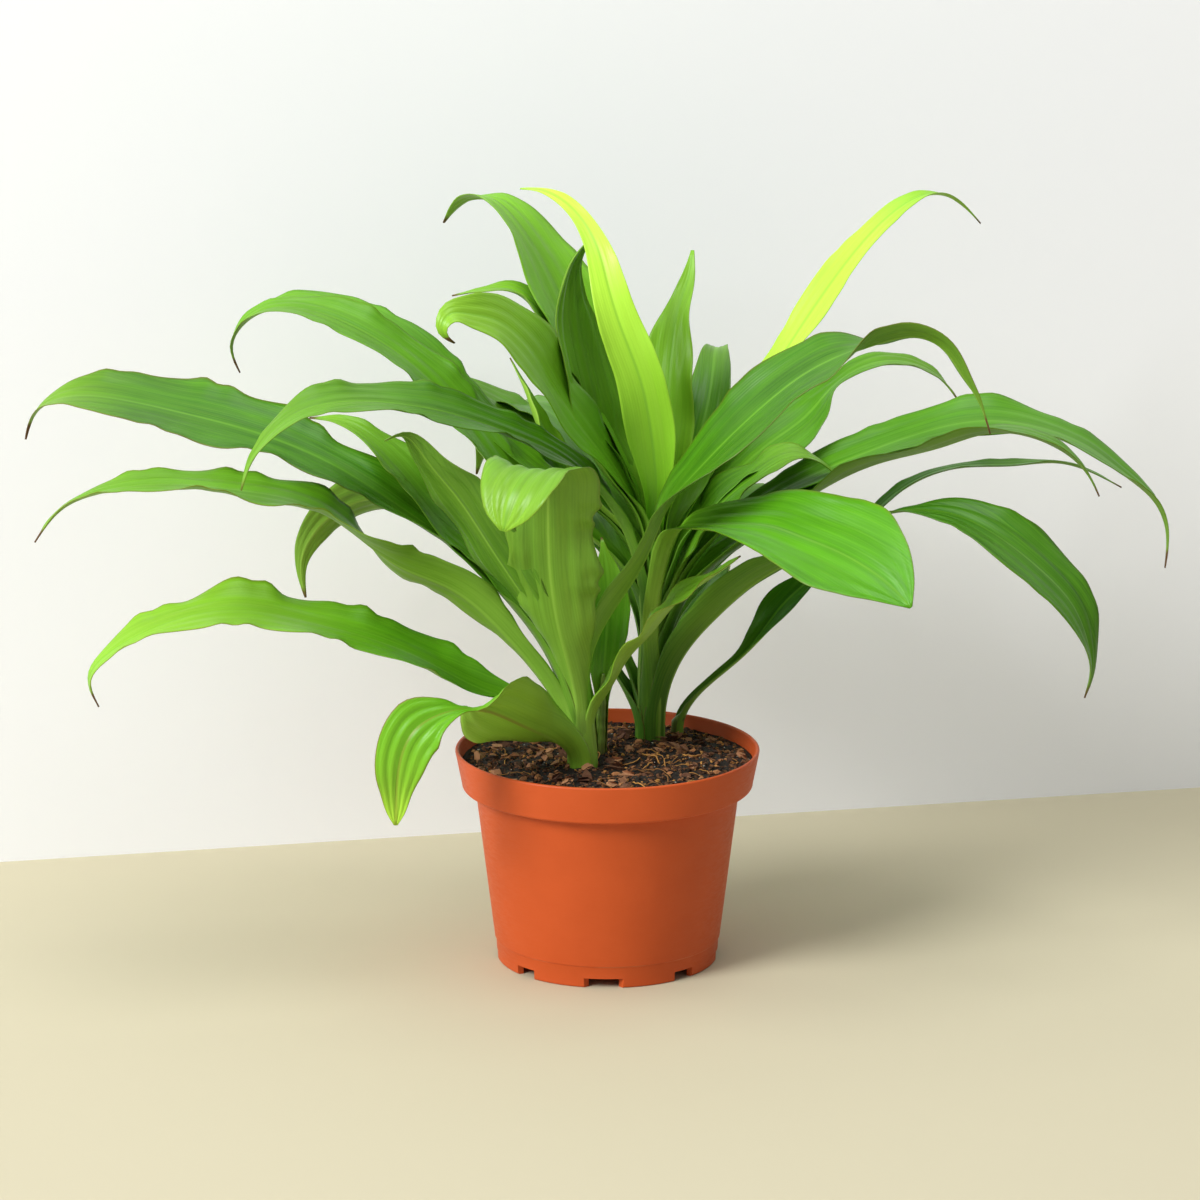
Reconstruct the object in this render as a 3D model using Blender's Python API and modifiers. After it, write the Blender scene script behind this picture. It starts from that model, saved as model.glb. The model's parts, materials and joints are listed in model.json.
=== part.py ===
"""Potted dracaena: a nursery pot of soil that holds two leafy canes and two young shoots.

Lengths are written in millimetres and built in metres. +Z is up, +X runs along the plant's
widest spread, -Y is its front, and the origin is on the pot's axis where the pot stands.
"""
import math
from typing import NamedTuple

import bmesh
import bpy
import numpy as np
from mathutils import Matrix

MM = 0.001
MERGE = 0.00005
GAP = 0.3

# The pot
POT_HEIGHT = 111.0
RIM_RADIUS = 78.0
COLLAR_FOOT_RADIUS = 74.7
COLLAR_FOOT = 91.3
WALL_TOP_RADIUS = 67.7
WALL_FOOT_RADIUS = 58.2
STEP_LEVEL = 11.5
FOOT_RADIUS = 57.0
FOOT_RING = 3.0
WALL = 1.5
FLOOR_UNDER = 5.6
FLOOR_TOP = 7.2
LIP_ROUND = 1.0
COLLAR_ROUND = 1.5
COLLAR_FILLET = 1.6
FOOT_ROUND = 1.0
STEP_DROP = 0.7
STEP_OUT = 0.5
ROUND_STEPS = 48
SHARP_POT = 35
POT_COLOUR = (0.56, 0.09, 0.02)

# The notches in the foot ring, as (outer width, inner width), and the holes in the floor
NOTCH_HEIGHT = 5.0
FIRST_NOTCH = 268.0
NOTCHES = 8
WIDE_NOTCH = (25.0, 12.7)
NARROW_NOTCH = (14.0, 9.0)
DRAIN_RADIUS = 4.0
DRAIN_SIDES = 16
DRAIN_CIRCLE = 40.0
DRAIN_HOLES = 6
FIRST_DRAIN = 30.0
CUT_SPARE = 2.0

# The soil
SOIL_EDGE = 104.0
SOIL_CROWN = 3.5
SOIL_RINGS = 8
LUMP = 1.2
SOIL_COLOUR = (0.07, 0.035, 0.015)

# The shoots: where each stands, its radius, the level of its buried end, and the stem above the
# soil as (x, y, z, radius)
STEM_SIDES = 12
SHOOTS = {
    "cane_front": ((-13, -21), 7.5, 60, ((-14, -21, 140, 7.0), (-17, -22, 160, 5.0), (-19, -23, 174, 2.2))),
    "cane_back": ((22, 34), 7.5, 60, ((23, 34, 150, 7.0), (25, 33, 185, 6.0), (26, 33, 212, 4.0),
                                      (27, 33, 230, 2.0))),
    "shoot_middle": ((-4, 2), 4.2, 75, ((-3, 3, 132, 3.6), (-2, 3, 150, 2.0))),
    "shoot_right": ((36, 45), 3.6, 80, ((39, 45, 115, 3.2), (42, 46, 121, 2.0))),
}
STEM_FREE = 112.0

# The leaves
BLADE = 0.9
STATION = 18.0
SHORTEST = 8
TIP_WIDTH = 1.5
CLASP = 1.4
ROUTE_SAMPLES = 400
SHARP_LEAF = 50
LEAF_COLOUR = (0.10, 0.34, 0.02)
WIDTH_SHARE = ((0, 0.34), (0.12, 0.32), (0.3, 0.62), (0.48, 0.94), (0.6, 1.0), (0.74, 0.82), (0.86, 0.45),
               (0.94, 0.17), (1, 0.03))
LOW_SHARE = ((0, 0.36), (0.12, 0.42), (0.28, 0.9), (0.4, 1.0), (0.55, 0.85), (0.66, 0.7), (0.78, 0.45),
             (0.9, 0.22), (1, 0.05))
PETIOLE_SHARE = ((0, 0.3), (0.2, 0.24), (0.36, 0.42), (0.5, 0.86), (0.62, 1.0), (0.76, 0.8), (0.87, 0.45),
                 (0.94, 0.17), (1, 0.03))


class Leaf(NamedTuple):
    """A leaf: its widest width, its midrib's points, and how its blade turns, cups and waves."""

    width: float
    route: tuple
    turn: tuple = ((0, 0), (1, 0))
    cup: float = 0.5
    wave: float = 1.6
    waves: float = 4.5
    share: tuple = WIDTH_SHARE


LEAVES = {
    "cane_front": (
        Leaf(46, ((-15, -23, 113), (-28, -34, 125), (-40, -46, 134), (-52, -58, 143), (-63, -70, 150),
                  (-74, -79, 152), (-86, -83, 149), (-95, -86, 143), (-101, -87, 132), (-104, -86, 116),
                  (-105, -84, 94)),
             turn=((0, 35), (0.15, 60), (0.42, 55), (0.5, 0), (0.6, -45), (1, -60)), cup=0.35,
             share=((0, 0.4), (0.12, 0.7), (0.25, 0.96), (0.36, 1), (0.44, 0.7), (0.5, 0.2), (0.58, 0.35),
                    (0.68, 0.64), (0.8, 0.56), (0.9, 0.34), (0.96, 0.2), (1, 0.04))),
        Leaf(40, ((-15, -21, 116), (-36, -28, 138), (-63, -36, 151), (-91, -45, 168), (-123, -53, 183),
                  (-150, -60, 192), (-187, -70, 200), (-216, -79, 196), (-241, -86, 185), (-254, -90, 170),
                  (-250, -89, 156)),
             turn=((0, 0), (0.22, -24), (0.45, -22), (0.7, -18), (1, 0)),
             share=((0, 0.3), (0.12, 0.36), (0.22, 0.7), (0.32, 0.95), (0.46, 0.86), (0.6, 1), (0.72, 0.86),
                    (0.82, 0.58), (0.9, 0.3), (1, 0.03))),
        Leaf(42, ((-16, -21, 120), (-32, -23, 152), (-54, -25, 180), (-79, -28, 202), (-104, -31, 214),
                  (-121, -33, 227), (-143, -35, 243), (-183, -39, 254), (-222, -43, 258), (-251, -46, 255),
                  (-270, -48, 247), (-284, -50, 230)),
             turn=((0, 30), (0.2, 60), (0.36, 50), (0.48, 0), (0.7, -8), (1, 0))),
        Leaf(52, ((-17, -21, 126), (-31, -18, 166), (-49, -16, 191), (-79, -12, 221), (-105, -8, 239),
                  (-130, -5, 255), (-155, -1, 267), (-185, 3, 277), (-216, 8, 284), (-247, 12, 290),
                  (-272, 15, 291), (-289, 18, 284), (-296, 20, 268)),
             turn=((0, 0), (0.35, -12), (0.6, -22), (0.85, -20), (1, 0)),
             share=((0, 0.34), (0.15, 0.34), (0.3, 0.42), (0.45, 0.62), (0.6, 0.88), (0.72, 1), (0.82, 0.9),
                    (0.9, 0.5), (0.95, 0.2), (1, 0.04))),
        Leaf(38, ((-16, -20, 130), (-34, -13, 175), (-65, -2, 212), (-88, 6, 237), (-103, 12, 254),
                  (-118, 17, 268), (-134, 23, 276), (-152, 30, 277)),
             turn=((0, 0), (1, -15))),
        Leaf(48, ((-18, -22, 139), (-24, -26, 166), (-39, -36, 195), (-59, -46, 228), (-75, -55, 255),
                  (-89, -62, 275), (-100, -68, 288), (-109, -73, 286)),
             turn=((0, 0), (0.4, 15), (1, 20)), cup=0.35),
        Leaf(48, ((-18, -25, 138), (-23, -38, 178), (-28, -54, 212), (-29, -74, 246), (-29, -93, 268),
                  (-32, -109, 279), (-39, -121, 279), (-46, -129, 269), (-50, -132, 254)),
             turn=((0, 0), (0.7, 0), (1, 15)), cup=0.35, wave=3.0,
             share=((0, 0.35), (0.15, 0.6), (0.35, 1), (0.6, 1), (0.78, 1), (0.9, 0.85), (0.96, 0.55),
                    (1, 0.08))),
        Leaf(46, ((-14, -22, 122), (-9, -22, 163), (1, -23, 187), (13, -25, 206), (22, -26, 225),
                  (29, -27, 242), (42, -30, 259), (58, -33, 277), (78, -37, 297), (96, -40, 312),
                  (115, -44, 323), (136, -47, 331), (151, -50, 334), (164, -52, 329), (174, -54, 316),
                  (182, -55, 303), (188, -56, 286)),
             turn=((0, 0), (0.2, -20), (0.35, 0), (0.5, 30), (0.68, 30), (0.78, -25), (0.92, -25), (1, 0))),
        Leaf(34, ((-12, -21, 114), (-7, -21, 134), (0, -20, 147), (11, -19, 165), (21, -19, 176),
                  (34, -18, 192), (49, -17, 203), (67, -15, 215)),
             turn=((0, 0), (0.4, -15), (1, 10))),
    ),
    "cane_back": (
        Leaf(36, ((22, 34, 158), (11, 29, 213), (-6, 21, 244), (-27, 12, 263), (-49, 2, 275), (-74, -9, 286),
                  (-103, -24, 295), (-130, -39, 299), (-149, -50, 297), (-161, -59, 291), (-170, -68, 282),
                  (-176, -75, 272), (-179, -77, 262)),
             turn=((0, 0), (0.4, -25), (0.75, -20), (1, 0))),
        Leaf(34, ((23, 35, 180), (-1, 45, 222), (-32, 57, 242), (-57, 67, 260), (-77, 76, 281),
                  (-96, 83, 298), (-119, 92, 314), (-142, 100, 323), (-163, 107, 326), (-181, 113, 320),
                  (-197, 119, 305)),
             turn=((0, 0), (0.4, -8), (0.8, -8), (1, 0))),
        Leaf(38, ((22, 34, 168), (-3, 38, 208), (-40, 43, 233), (-68, 47, 265), (-91, 50, 293),
                  (-114, 53, 311), (-137, 56, 323), (-158, 59, 329), (-175, 62, 328), (-187, 63, 321),
                  (-194, 64, 308), (-190, 64, 294)),
             turn=((0, 0), (0.4, -18), (0.8, -16), (1, 0))),
        Leaf(46, ((23, 33, 190), (15, 29, 228), (1, 21, 255), (-16, 10, 280), (-30, 2, 304), (-41, -6, 322),
                  (-55, -14, 335), (-69, -23, 340), (-79, -29, 340), (-82, -31, 334), (-76, -27, 326)),
             turn=((0, 0), (0.3, -40), (0.8, -50), (1, -20)), cup=0.35),
        Leaf(54, ((24, 34, 198), (17, 38, 236), (4, 49, 272), (-12, 62, 306), (-27, 75, 338), (-40, 86, 360),
                  (-52, 96, 374), (-61, 104, 379), (-75, 115, 376), (-86, 125, 363)),
             turn=((0, 0), (0.5, 0), (0.8, 10), (1, 0)), wave=1.2),
        Leaf(28, ((26, 33, 204), (25, 28, 239), (22, 24, 271), (16, 22, 300), (7, 24, 324), (0, 30, 346),
                  (-5, 38, 363), (-13, 50, 376), (-23, 63, 384), (-34, 77, 387), (-45, 90, 386)),
             turn=((0, -50), (0.4, -50), (1, -30)), cup=0.7, wave=1.2,
             share=((0, 0.3), (0.12, 0.5), (0.3, 1), (0.45, 0.9), (0.6, 0.7), (0.72, 0.45), (0.85, 0.25),
                    (1, 0.03))),
        Leaf(50, ((24, 33, 186), (12, 32, 236), (-6, 32, 265), (-13, 34, 291), (-19, 38, 318),
                  (-20, 43, 340), (-16, 48, 356), (-8, 53, 366)),
             turn=((0, 0), (1, 0)), cup=0.8, wave=1.0),
        Leaf(36, ((26, 33, 202), (27, 36, 240), (29, 42, 268), (31, 48, 293), (33, 54, 313), (37, 62, 330),
                  (42, 70, 344), (44, 76, 356)),
             turn=((0, 0), (1, 0)), cup=0.4, share=LOW_SHARE),
        Leaf(28, ((27, 34, 194), (39, 48, 235), (50, 66, 268), (55, 84, 290), (57, 104, 299), (60, 124, 294),
                  (63, 138, 280)), cup=0.4, share=LOW_SHARE),
        Leaf(20, ((26, 34, 188), (38, 43, 218), (53, 52, 243), (69, 62, 269), (86, 72, 294), (104, 83, 320),
                  (124, 95, 346), (139, 105, 362), (154, 116, 373), (171, 127, 378), (185, 136, 373),
                  (198, 141, 360)),
             turn=((0, 0), (0.3, 10), (0.7, 15), (0.85, 5), (1, 0)), cup=0.4),
        Leaf(42, ((26, 33, 176), (42, 40, 216), (63, 47, 241), (84, 54, 259), (104, 61, 273), (116, 65, 286),
                  (127, 68, 294), (140, 72, 298), (156, 78, 297), (171, 82, 290), (183, 86, 276)),
             turn=((0, 0), (0.3, 15), (0.56, 30), (0.68, -10), (0.8, 20), (1, 0)),
             share=((0, 0.3), (0.16, 0.34), (0.36, 0.7), (0.5, 0.95), (0.61, 0.66), (0.69, 0.32), (0.78, 0.5),
                    (0.88, 0.32), (0.95, 0.12), (1, 0.03))),
        Leaf(39, ((25, 34, 160), (43, 35, 198), (68, 37, 224), (99, 39, 242), (130, 42, 255), (161, 44, 266),
                  (192, 46, 272), (223, 48, 268), (249, 50, 257), (268, 51, 243), (282, 52, 231),
                  (290, 53, 215), (290, 53, 193)),
             turn=((0, 0), (0.3, 14), (0.6, 18), (0.8, 10), (1, 0))),
        Leaf(44, ((24, 33, 146), (46, 30, 191), (78, 26, 219), (109, 22, 242), (139, 18, 257), (169, 13, 266),
                  (194, 10, 274), (216, 7, 272), (234, 4, 263), (244, 3, 252), (249, 2, 242)),
             turn=((0, 0), (0.3, 10), (0.6, -10), (1, 0))),
        Leaf(44, ((24, 33, 120), (38, 29, 151), (56, 23, 175), (77, 15, 196), (104, 5, 214), (128, -4, 230),
                  (150, -12, 238), (172, -20, 238), (194, -29, 229), (216, -37, 213), (232, -42, 196),
                  (240, -45, 177), (242, -46, 163), (239, -45, 149)),
             turn=((0, 0), (0.2, -20), (0.4, -10), (0.55, 10), (0.7, 20), (1, 0)),
             share=((0, 0.34), (0.16, 0.7), (0.28, 0.85), (0.42, 0.5), (0.53, 0.18), (0.62, 0.55), (0.75, 1),
                    (0.87, 0.7), (0.95, 0.25), (1, 0.03))),
        Leaf(62, ((23, 33, 132), (25, 27, 170), (29, 14, 206), (36, -1, 226), (47, -17, 232), (65, -34, 236),
                  (81, -50, 238), (96, -66, 236), (111, -81, 233), (125, -95, 228), (137, -107, 221),
                  (146, -117, 213)),
             turn=((0, 0), (0.35, 10), (0.5, 26), (0.7, 30), (1, 34)), cup=0.8, wave=1.2,
             share=((0, 0.26), (0.3, 0.24), (0.42, 0.28), (0.52, 0.5), (0.66, 0.76), (0.82, 1), (0.9, 0.74),
                    (0.96, 0.36), (1, 0.03))),
        Leaf(34, ((25, 34, 168), (42, 33, 205), (58, 33, 231), (78, 32, 248), (96, 31, 257), (109, 31, 254),
                  (118, 31, 246)),
             turn=((0, 0), (0.5, 20), (1, 0))),
        Leaf(36, ((20, 35, 114), (7, 43, 134), (-4, 49, 150), (-22, 59, 174), (-56, 79, 202), (-94, 101, 214),
                  (-121, 117, 217), (-143, 129, 208), (-159, 137, 191), (-165, 141, 174), (-163, 141, 156)),
             turn=((0, 0), (0.45, 0), (0.7, 40), (1, 55)), share=PETIOLE_SHARE),
        Leaf(34, ((21, 36, 119), (10, 44, 144), (-1, 53, 167), (-14, 64, 200), (-33, 80, 242), (-48, 93, 266),
                  (-67, 109, 275), (-86, 125, 279), (-100, 136, 271)), share=PETIOLE_SHARE),
        Leaf(20, ((23, 34, 172), (17, 36, 206), (-4, 38, 230), (-22, 40, 253), (-32, 43, 265),
                  (-41, 47, 286), (-50, 52, 304)), cup=1.2, wave=0.4),
        Leaf(34, ((24, 34, 194), (16, 36, 232), (-4, 42, 273), (-24, 48, 311), (-37, 52, 331), (-50, 58, 339),
                  (-63, 62, 338), (-80, 66, 334)),
             turn=((0, 0), (0.6, 0), (1, -10))),
        Leaf(44, ((25, 35, 184), (27, 60, 222), (30, 90, 250), (34, 120, 253), (38, 136, 235),
                  (40, 141, 205))),
        Leaf(42, ((23, 35, 152), (8, 60, 190), (-8, 92, 215), (-25, 122, 215), (-38, 137, 190),
                  (-44, 141, 165))),
        Leaf(42, ((24, 36, 142), (45, 60, 182), (72, 92, 210), (98, 120, 215), (115, 135, 198),
                  (122, 140, 182))),
        Leaf(36, ((23, 37, 126), (33, 62, 152), (45, 95, 173), (58, 123, 178), (66, 137, 168)),
             share=PETIOLE_SHARE),
        Leaf(42, ((24, 35, 186), (2, 55, 232), (-22, 85, 262), (-45, 112, 268), (-62, 130, 250),
                  (-70, 138, 225))),
    ),
    "shoot_middle": (
        Leaf(24, ((-4, 2, 120), (-2, 5, 145), (0, 8, 175), (0, 11, 200), (-3, 14, 218)), cup=0.8, wave=0.8),
        Leaf(24, ((-5, 2, 116), (-10, 8, 134), (-22, 18, 160), (-40, 30, 182), (-58, 40, 190),
                  (-72, 48, 184)), cup=0.6, wave=1.0),
    ),
    "shoot_right": (
        Leaf(22, ((37, 45, 112), (51, 48, 130), (73, 52, 149), (91, 56, 172), (108, 60, 187), (126, 64, 204),
                  (142, 67, 222), (160, 71, 235), (184, 76, 242), (211, 81, 242), (238, 87, 242),
                  (257, 91, 235), (271, 94, 227)),
             turn=((0, 0), (0.3, 25), (0.5, 5), (1, 0)), wave=0.8,
             share=((0, 0.3), (0.14, 0.34), (0.21, 0.7), (0.28, 1), (0.34, 0.65), (0.4, 0.36), (0.6, 0.5),
                    (0.78, 0.5), (0.89, 0.34), (0.95, 0.16), (1, 0.04))),
    ),
}


def clear_scene():
    for item in list(bpy.data.objects):
        bpy.data.objects.remove(item, do_unlink=True)


def make_collection(name):
    group = bpy.data.collections.new(name)
    bpy.context.scene.collection.children.link(group)
    return group


def make_material(name, colour, roughness):
    material = bpy.data.materials.new(name)
    material.use_nodes = True
    shader = material.node_tree.nodes["Principled BSDF"]
    shader.inputs["Base Color"].default_value = (*colour, 1)
    shader.inputs["Roughness"].default_value = roughness
    shader.inputs["Metallic"].default_value = 0
    return material


def add_object(name, mesh, group, material=None):
    item = bpy.data.objects.new(name, mesh)
    group.objects.link(item)
    if material:
        mesh.materials.clear()
        mesh.materials.append(material)
    return item


def finished_mesh(item):
    """The mesh that the object's modifiers give."""
    bpy.context.view_layer.update()
    graph = bpy.context.evaluated_depsgraph_get()
    return bpy.data.meshes.new_from_object(item.evaluated_get(graph))


def apply_modifiers(item):
    mesh = finished_mesh(item)
    item.modifiers.clear()
    item.data = mesh


def boolean(item, operation, group, solver="EXACT"):
    """Cut or join the objects of a collection, apply it, and remove them."""
    step = item.modifiers.new(operation.lower(), "BOOLEAN")
    step.operation = operation
    step.operand_type = "COLLECTION"
    step.collection = group
    step.solver = solver
    apply_modifiers(item)
    for other in list(group.objects):
        bpy.data.objects.remove(other, do_unlink=True)
    bpy.data.collections.remove(group)


def as_cutter(item):
    item.hide_render = True
    item.display_type = "WIRE"
    return item


def arc(centre_r, centre_z, radius, start, end, steps):
    """Points on an arc of a turned profile, from one angle to another in degrees."""
    angles = [math.radians(start + (end - start) * i / steps) for i in range(steps + 1)]
    return [(centre_r + radius * math.cos(a), centre_z + radius * math.sin(a)) for a in angles]


def turned(name, profile, group, material):
    """A solid of revolution whose profile of (radius, height) runs down its outer side."""
    mesh = bpy.data.meshes.new(name)
    points = [(r * MM, 0, z * MM) for r, z in profile]
    mesh.from_pydata(points, [(i, i + 1) for i in range(len(points) - 1)], [])
    item = add_object(name, mesh, group, material)
    screw = item.modifiers.new("turn", "SCREW")
    screw.steps = ROUND_STEPS
    screw.render_steps = ROUND_STEPS
    screw.use_merge_vertices = True
    screw.merge_threshold = MERGE
    screw.use_smooth_shade = True
    apply_modifiers(item)
    return item


def inner_wall():
    """The pot's inside from the floor's edge up to the lip, as (radius, height)."""
    return [(WALL_FOOT_RADIUS - WALL - 2.4, FLOOR_TOP),
            (WALL_FOOT_RADIUS - WALL - 0.5, FLOOR_TOP + 1.6),
            (WALL_FOOT_RADIUS - WALL + 0.2, FLOOR_TOP + 5.0),
            (WALL_TOP_RADIUS - WALL, COLLAR_FOOT - 1.8),
            (WALL_TOP_RADIUS - WALL + 0.5, COLLAR_FOOT + 0.6),
            (COLLAR_FOOT_RADIUS - WALL - 1.5, COLLAR_FOOT + 1.4),
            (COLLAR_FOOT_RADIUS - WALL, COLLAR_FOOT + 3.0)]


def lip_inner_radius():
    return RIM_RADIUS - 2 * LIP_ROUND


def make_pot(group, material):
    lip = arc(RIM_RADIUS - LIP_ROUND, POT_HEIGHT - LIP_ROUND, LIP_ROUND, 180, 0, 6)
    collar_edge = arc(COLLAR_FOOT_RADIUS - COLLAR_ROUND, COLLAR_FOOT + COLLAR_ROUND, COLLAR_ROUND, 10, -90, 3)
    collar_fillet = arc(WALL_TOP_RADIUS + COLLAR_FILLET, COLLAR_FOOT - COLLAR_FILLET - GAP, COLLAR_FILLET,
                        90, 180, 3)
    foot_edge = arc(FOOT_RADIUS - FOOT_ROUND, FOOT_ROUND, FOOT_ROUND, 0, -90, 3)
    profile = ([(0, FLOOR_TOP)] + inner_wall() + lip + collar_edge + collar_fillet
               + [(WALL_FOOT_RADIUS, STEP_LEVEL), (FOOT_RADIUS + STEP_OUT, STEP_LEVEL - STEP_DROP)]
               + foot_edge
               + [(FOOT_RADIUS - FOOT_RING, 0), (FOOT_RADIUS - FOOT_RING, FLOOR_UNDER), (0, FLOOR_UNDER)])
    pot = turned("pot", profile, group, material)
    cutters = make_collection("pot_cutters")
    for i in range(NOTCHES):
        outer, inner = (NARROW_NOTCH, WIDE_NOTCH)[i % 2 == 0]
        add_notch_cutter(cutters, FIRST_NOTCH + i * 360 / NOTCHES, outer, inner)
    for i in range(DRAIN_HOLES):
        a = math.radians(FIRST_DRAIN + i * 360 / DRAIN_HOLES)
        place = (DRAIN_CIRCLE * math.cos(a), DRAIN_CIRCLE * math.sin(a))
        add_rod(cutters, "drain", place, DRAIN_RADIUS, FLOOR_UNDER - CUT_SPARE, FLOOR_TOP + CUT_SPARE,
                DRAIN_SIDES)
    boolean(pot, "DIFFERENCE", cutters)
    pot.data.shade_smooth()
    pot.data.set_sharp_from_angle(angle=math.radians(SHARP_POT))
    return pot


def add_notch_cutter(group, angle, outer, inner):
    """A wedge through the foot ring, wider at its outer side."""
    low, high = FOOT_RADIUS - FOOT_RING - CUT_SPARE, FOOT_RADIUS + CUT_SPARE
    mesh = bpy.data.meshes.new("notch")
    shape = bmesh.new()
    bmesh.ops.create_cube(shape, size=2)
    for corner in shape.verts:
        x, y, z = corner.co
        half = (outer if x > 0 else inner) / 2
        corner.co = ((high if x > 0 else low) * MM, math.copysign(half, y) * MM,
                     (NOTCH_HEIGHT if z > 0 else -CUT_SPARE) * MM)
    bmesh.ops.rotate(shape, cent=(0, 0, 0), matrix=Matrix.Rotation(math.radians(angle), 3, "Z"),
                     verts=shape.verts)
    shape.to_mesh(mesh)
    shape.free()
    as_cutter(add_object("notch", mesh, group))


def add_rod(group, name, place, radius, low, high, sides):
    """An upright round cutter at (x, y)."""
    mesh = bpy.data.meshes.new(name)
    shape = bmesh.new()
    bmesh.ops.create_cone(shape, cap_ends=True, segments=sides, radius1=radius * MM, radius2=radius * MM,
                          depth=(high - low) * MM,
                          matrix=Matrix.Translation((place[0] * MM, place[1] * MM, (low + high) / 2 * MM)))
    shape.to_mesh(mesh)
    shape.free()
    as_cutter(add_object(name, mesh, group))


def soil_height(x, y, reach):
    """The level of the soil's lumpy top at (x, y)."""
    share = min(1.0, math.hypot(x, y) / reach)
    lumps = (math.sin(0.31 * x + 1.3) * math.cos(0.27 * y - 0.4)
             + 0.6 * math.sin(0.52 * y + 0.23 * x) + 0.4 * math.cos(0.61 * x - 0.35 * y))
    return SOIL_EDGE + SOIL_CROWN * (1 - share ** 2) + LUMP * lumps * (1 - share ** 6)


def make_soil(group, material):
    wall = [(r - GAP, z + (GAP if i == 0 else 0)) for i, (r, z) in enumerate(inner_wall())]
    wall[-2] = (wall[-2][0], wall[-2][1] + GAP)
    slope = (lip_inner_radius() - wall[-1][0] - GAP) / (POT_HEIGHT - LIP_ROUND - wall[-1][1])
    reach = wall[-1][0] + slope * (SOIL_EDGE - wall[-1][1])
    top = [(reach * i / SOIL_RINGS, SOIL_EDGE) for i in range(SOIL_RINGS + 1)]
    soil = turned("soil", top + wall[::-1] + [(0, FLOOR_TOP + GAP)], group, material)
    for corner in soil.data.vertices:
        x, y, z = corner.co / MM
        if z > SOIL_EDGE - 0.1:
            corner.co.z = soil_height(x, y, reach) * MM
    cutters = make_collection("soil_cutters")
    for name, (place, radius, low, _) in SHOOTS.items():
        add_rod(cutters, name + "_hole", place, radius + GAP, low - GAP, 2 * POT_HEIGHT, STEM_SIDES)
    boolean(soil, "DIFFERENCE", cutters)
    return soil


def curve_through(points, count):
    """Points at even steps of length along a natural cubic spline through the given ones."""
    p = np.asarray(points, float)
    size = len(p)
    t = np.concatenate([[0], np.cumsum(np.linalg.norm(np.diff(p, axis=0), axis=1))])
    step = np.diff(t)
    system = np.eye(size)
    right = np.zeros_like(p)
    for i in range(1, size - 1):
        system[i, i - 1:i + 2] = step[i - 1], 2 * (step[i - 1] + step[i]), step[i]
        right[i] = 6 * ((p[i + 1] - p[i]) / step[i] - (p[i] - p[i - 1]) / step[i - 1])
    bend = np.linalg.solve(system, right)

    def at(where):
        i = np.clip(np.searchsorted(t, where, side="right") - 1, 0, size - 2)
        after, before, gap = (t[i + 1] - where)[:, None], (where - t[i])[:, None], step[i][:, None]
        return ((bend[i] * after ** 3 + bend[i + 1] * before ** 3) / (6 * gap)
                + (p[i] / gap - bend[i] * gap / 6) * after
                + (p[i + 1] / gap - bend[i + 1] * gap / 6) * before)

    fine = np.linspace(0, t[-1], ROUTE_SAMPLES)
    run = np.concatenate([[0], np.cumsum(np.linalg.norm(np.diff(at(fine), axis=0), axis=1))])
    return at(np.interp(np.linspace(0, run[-1], count), run, fine))


def read_table(table, share):
    """A smooth reading of a table of (share, value) that never overshoots its values."""
    xs, ys = np.array(table, float).T
    slopes = np.diff(ys) / np.diff(xs)
    tangents = np.concatenate([slopes[:1], np.zeros(len(xs) - 2), slopes[-1:]])
    for i in range(1, len(xs) - 1):
        if slopes[i - 1] * slopes[i] > 0:
            tangents[i] = 2 * slopes[i - 1] * slopes[i] / (slopes[i - 1] + slopes[i])
    i = np.clip(np.searchsorted(xs, share, side="right") - 1, 0, len(xs) - 2)
    span = xs[i + 1] - xs[i]
    u = (share - xs[i]) / span
    return ((2 * u ** 3 - 3 * u ** 2 + 1) * ys[i] + (u ** 3 - 2 * u ** 2 + u) * span * tangents[i]
            + (3 * u ** 2 - 2 * u ** 3) * ys[i + 1] + (u ** 3 - u ** 2) * span * tangents[i + 1])


def leaf_surface(leaf, along, across):
    """A grid of the blade's middle surface, in mm: along + 1 by across + 1 points."""
    share = np.linspace(0, 1, along + 1)
    side = np.linspace(-1, 1, across + 1)
    spine = curve_through(leaf.route, along + 1)
    ahead = np.gradient(spine, axis=0)
    ahead /= np.linalg.norm(ahead, axis=1)[:, None]
    heading = math.atan2(spine[-1, 1] - spine[0, 1], spine[-1, 0] - spine[0, 0])
    level = np.array([-math.sin(heading), math.cos(heading), 0])
    beside = level - (ahead @ level)[:, None] * ahead
    beside /= np.linalg.norm(beside, axis=1)[:, None]
    above = np.cross(ahead, beside)
    turn = np.radians(read_table(leaf.turn, share))[:, None]
    beside, above = (beside * np.cos(turn) + above * np.sin(turn),
                     above * np.cos(turn) - beside * np.sin(turn))
    half = np.maximum(leaf.width * read_table(leaf.share, share), TIP_WIDTH)[:, None] / 2
    bends = ((0, CLASP), (0.12, CLASP * 0.9), (0.35, leaf.cup), (1, leaf.cup * 0.6))
    bend = read_table(bends, share)[:, None]
    out = half * np.sin(bend * side) / bend
    up = half * (1 - np.cos(bend * side)) / bend
    swell = np.sin(np.pi * np.clip((share - 0.2) / 0.75, 0, 1))[:, None]
    ripple = np.sin(2 * np.pi * leaf.waves * share[:, None] + np.where(side > 0, 2.1, 0) + leaf.width)
    up = up + leaf.wave * swell * np.abs(side) ** 1.6 * ripple
    return spine[:, None] + out[..., None] * beside[:, None] + up[..., None] * above[:, None]


def route_length(route):
    return sum(math.dist(a, b) for a, b in zip(route, route[1:]))


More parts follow.
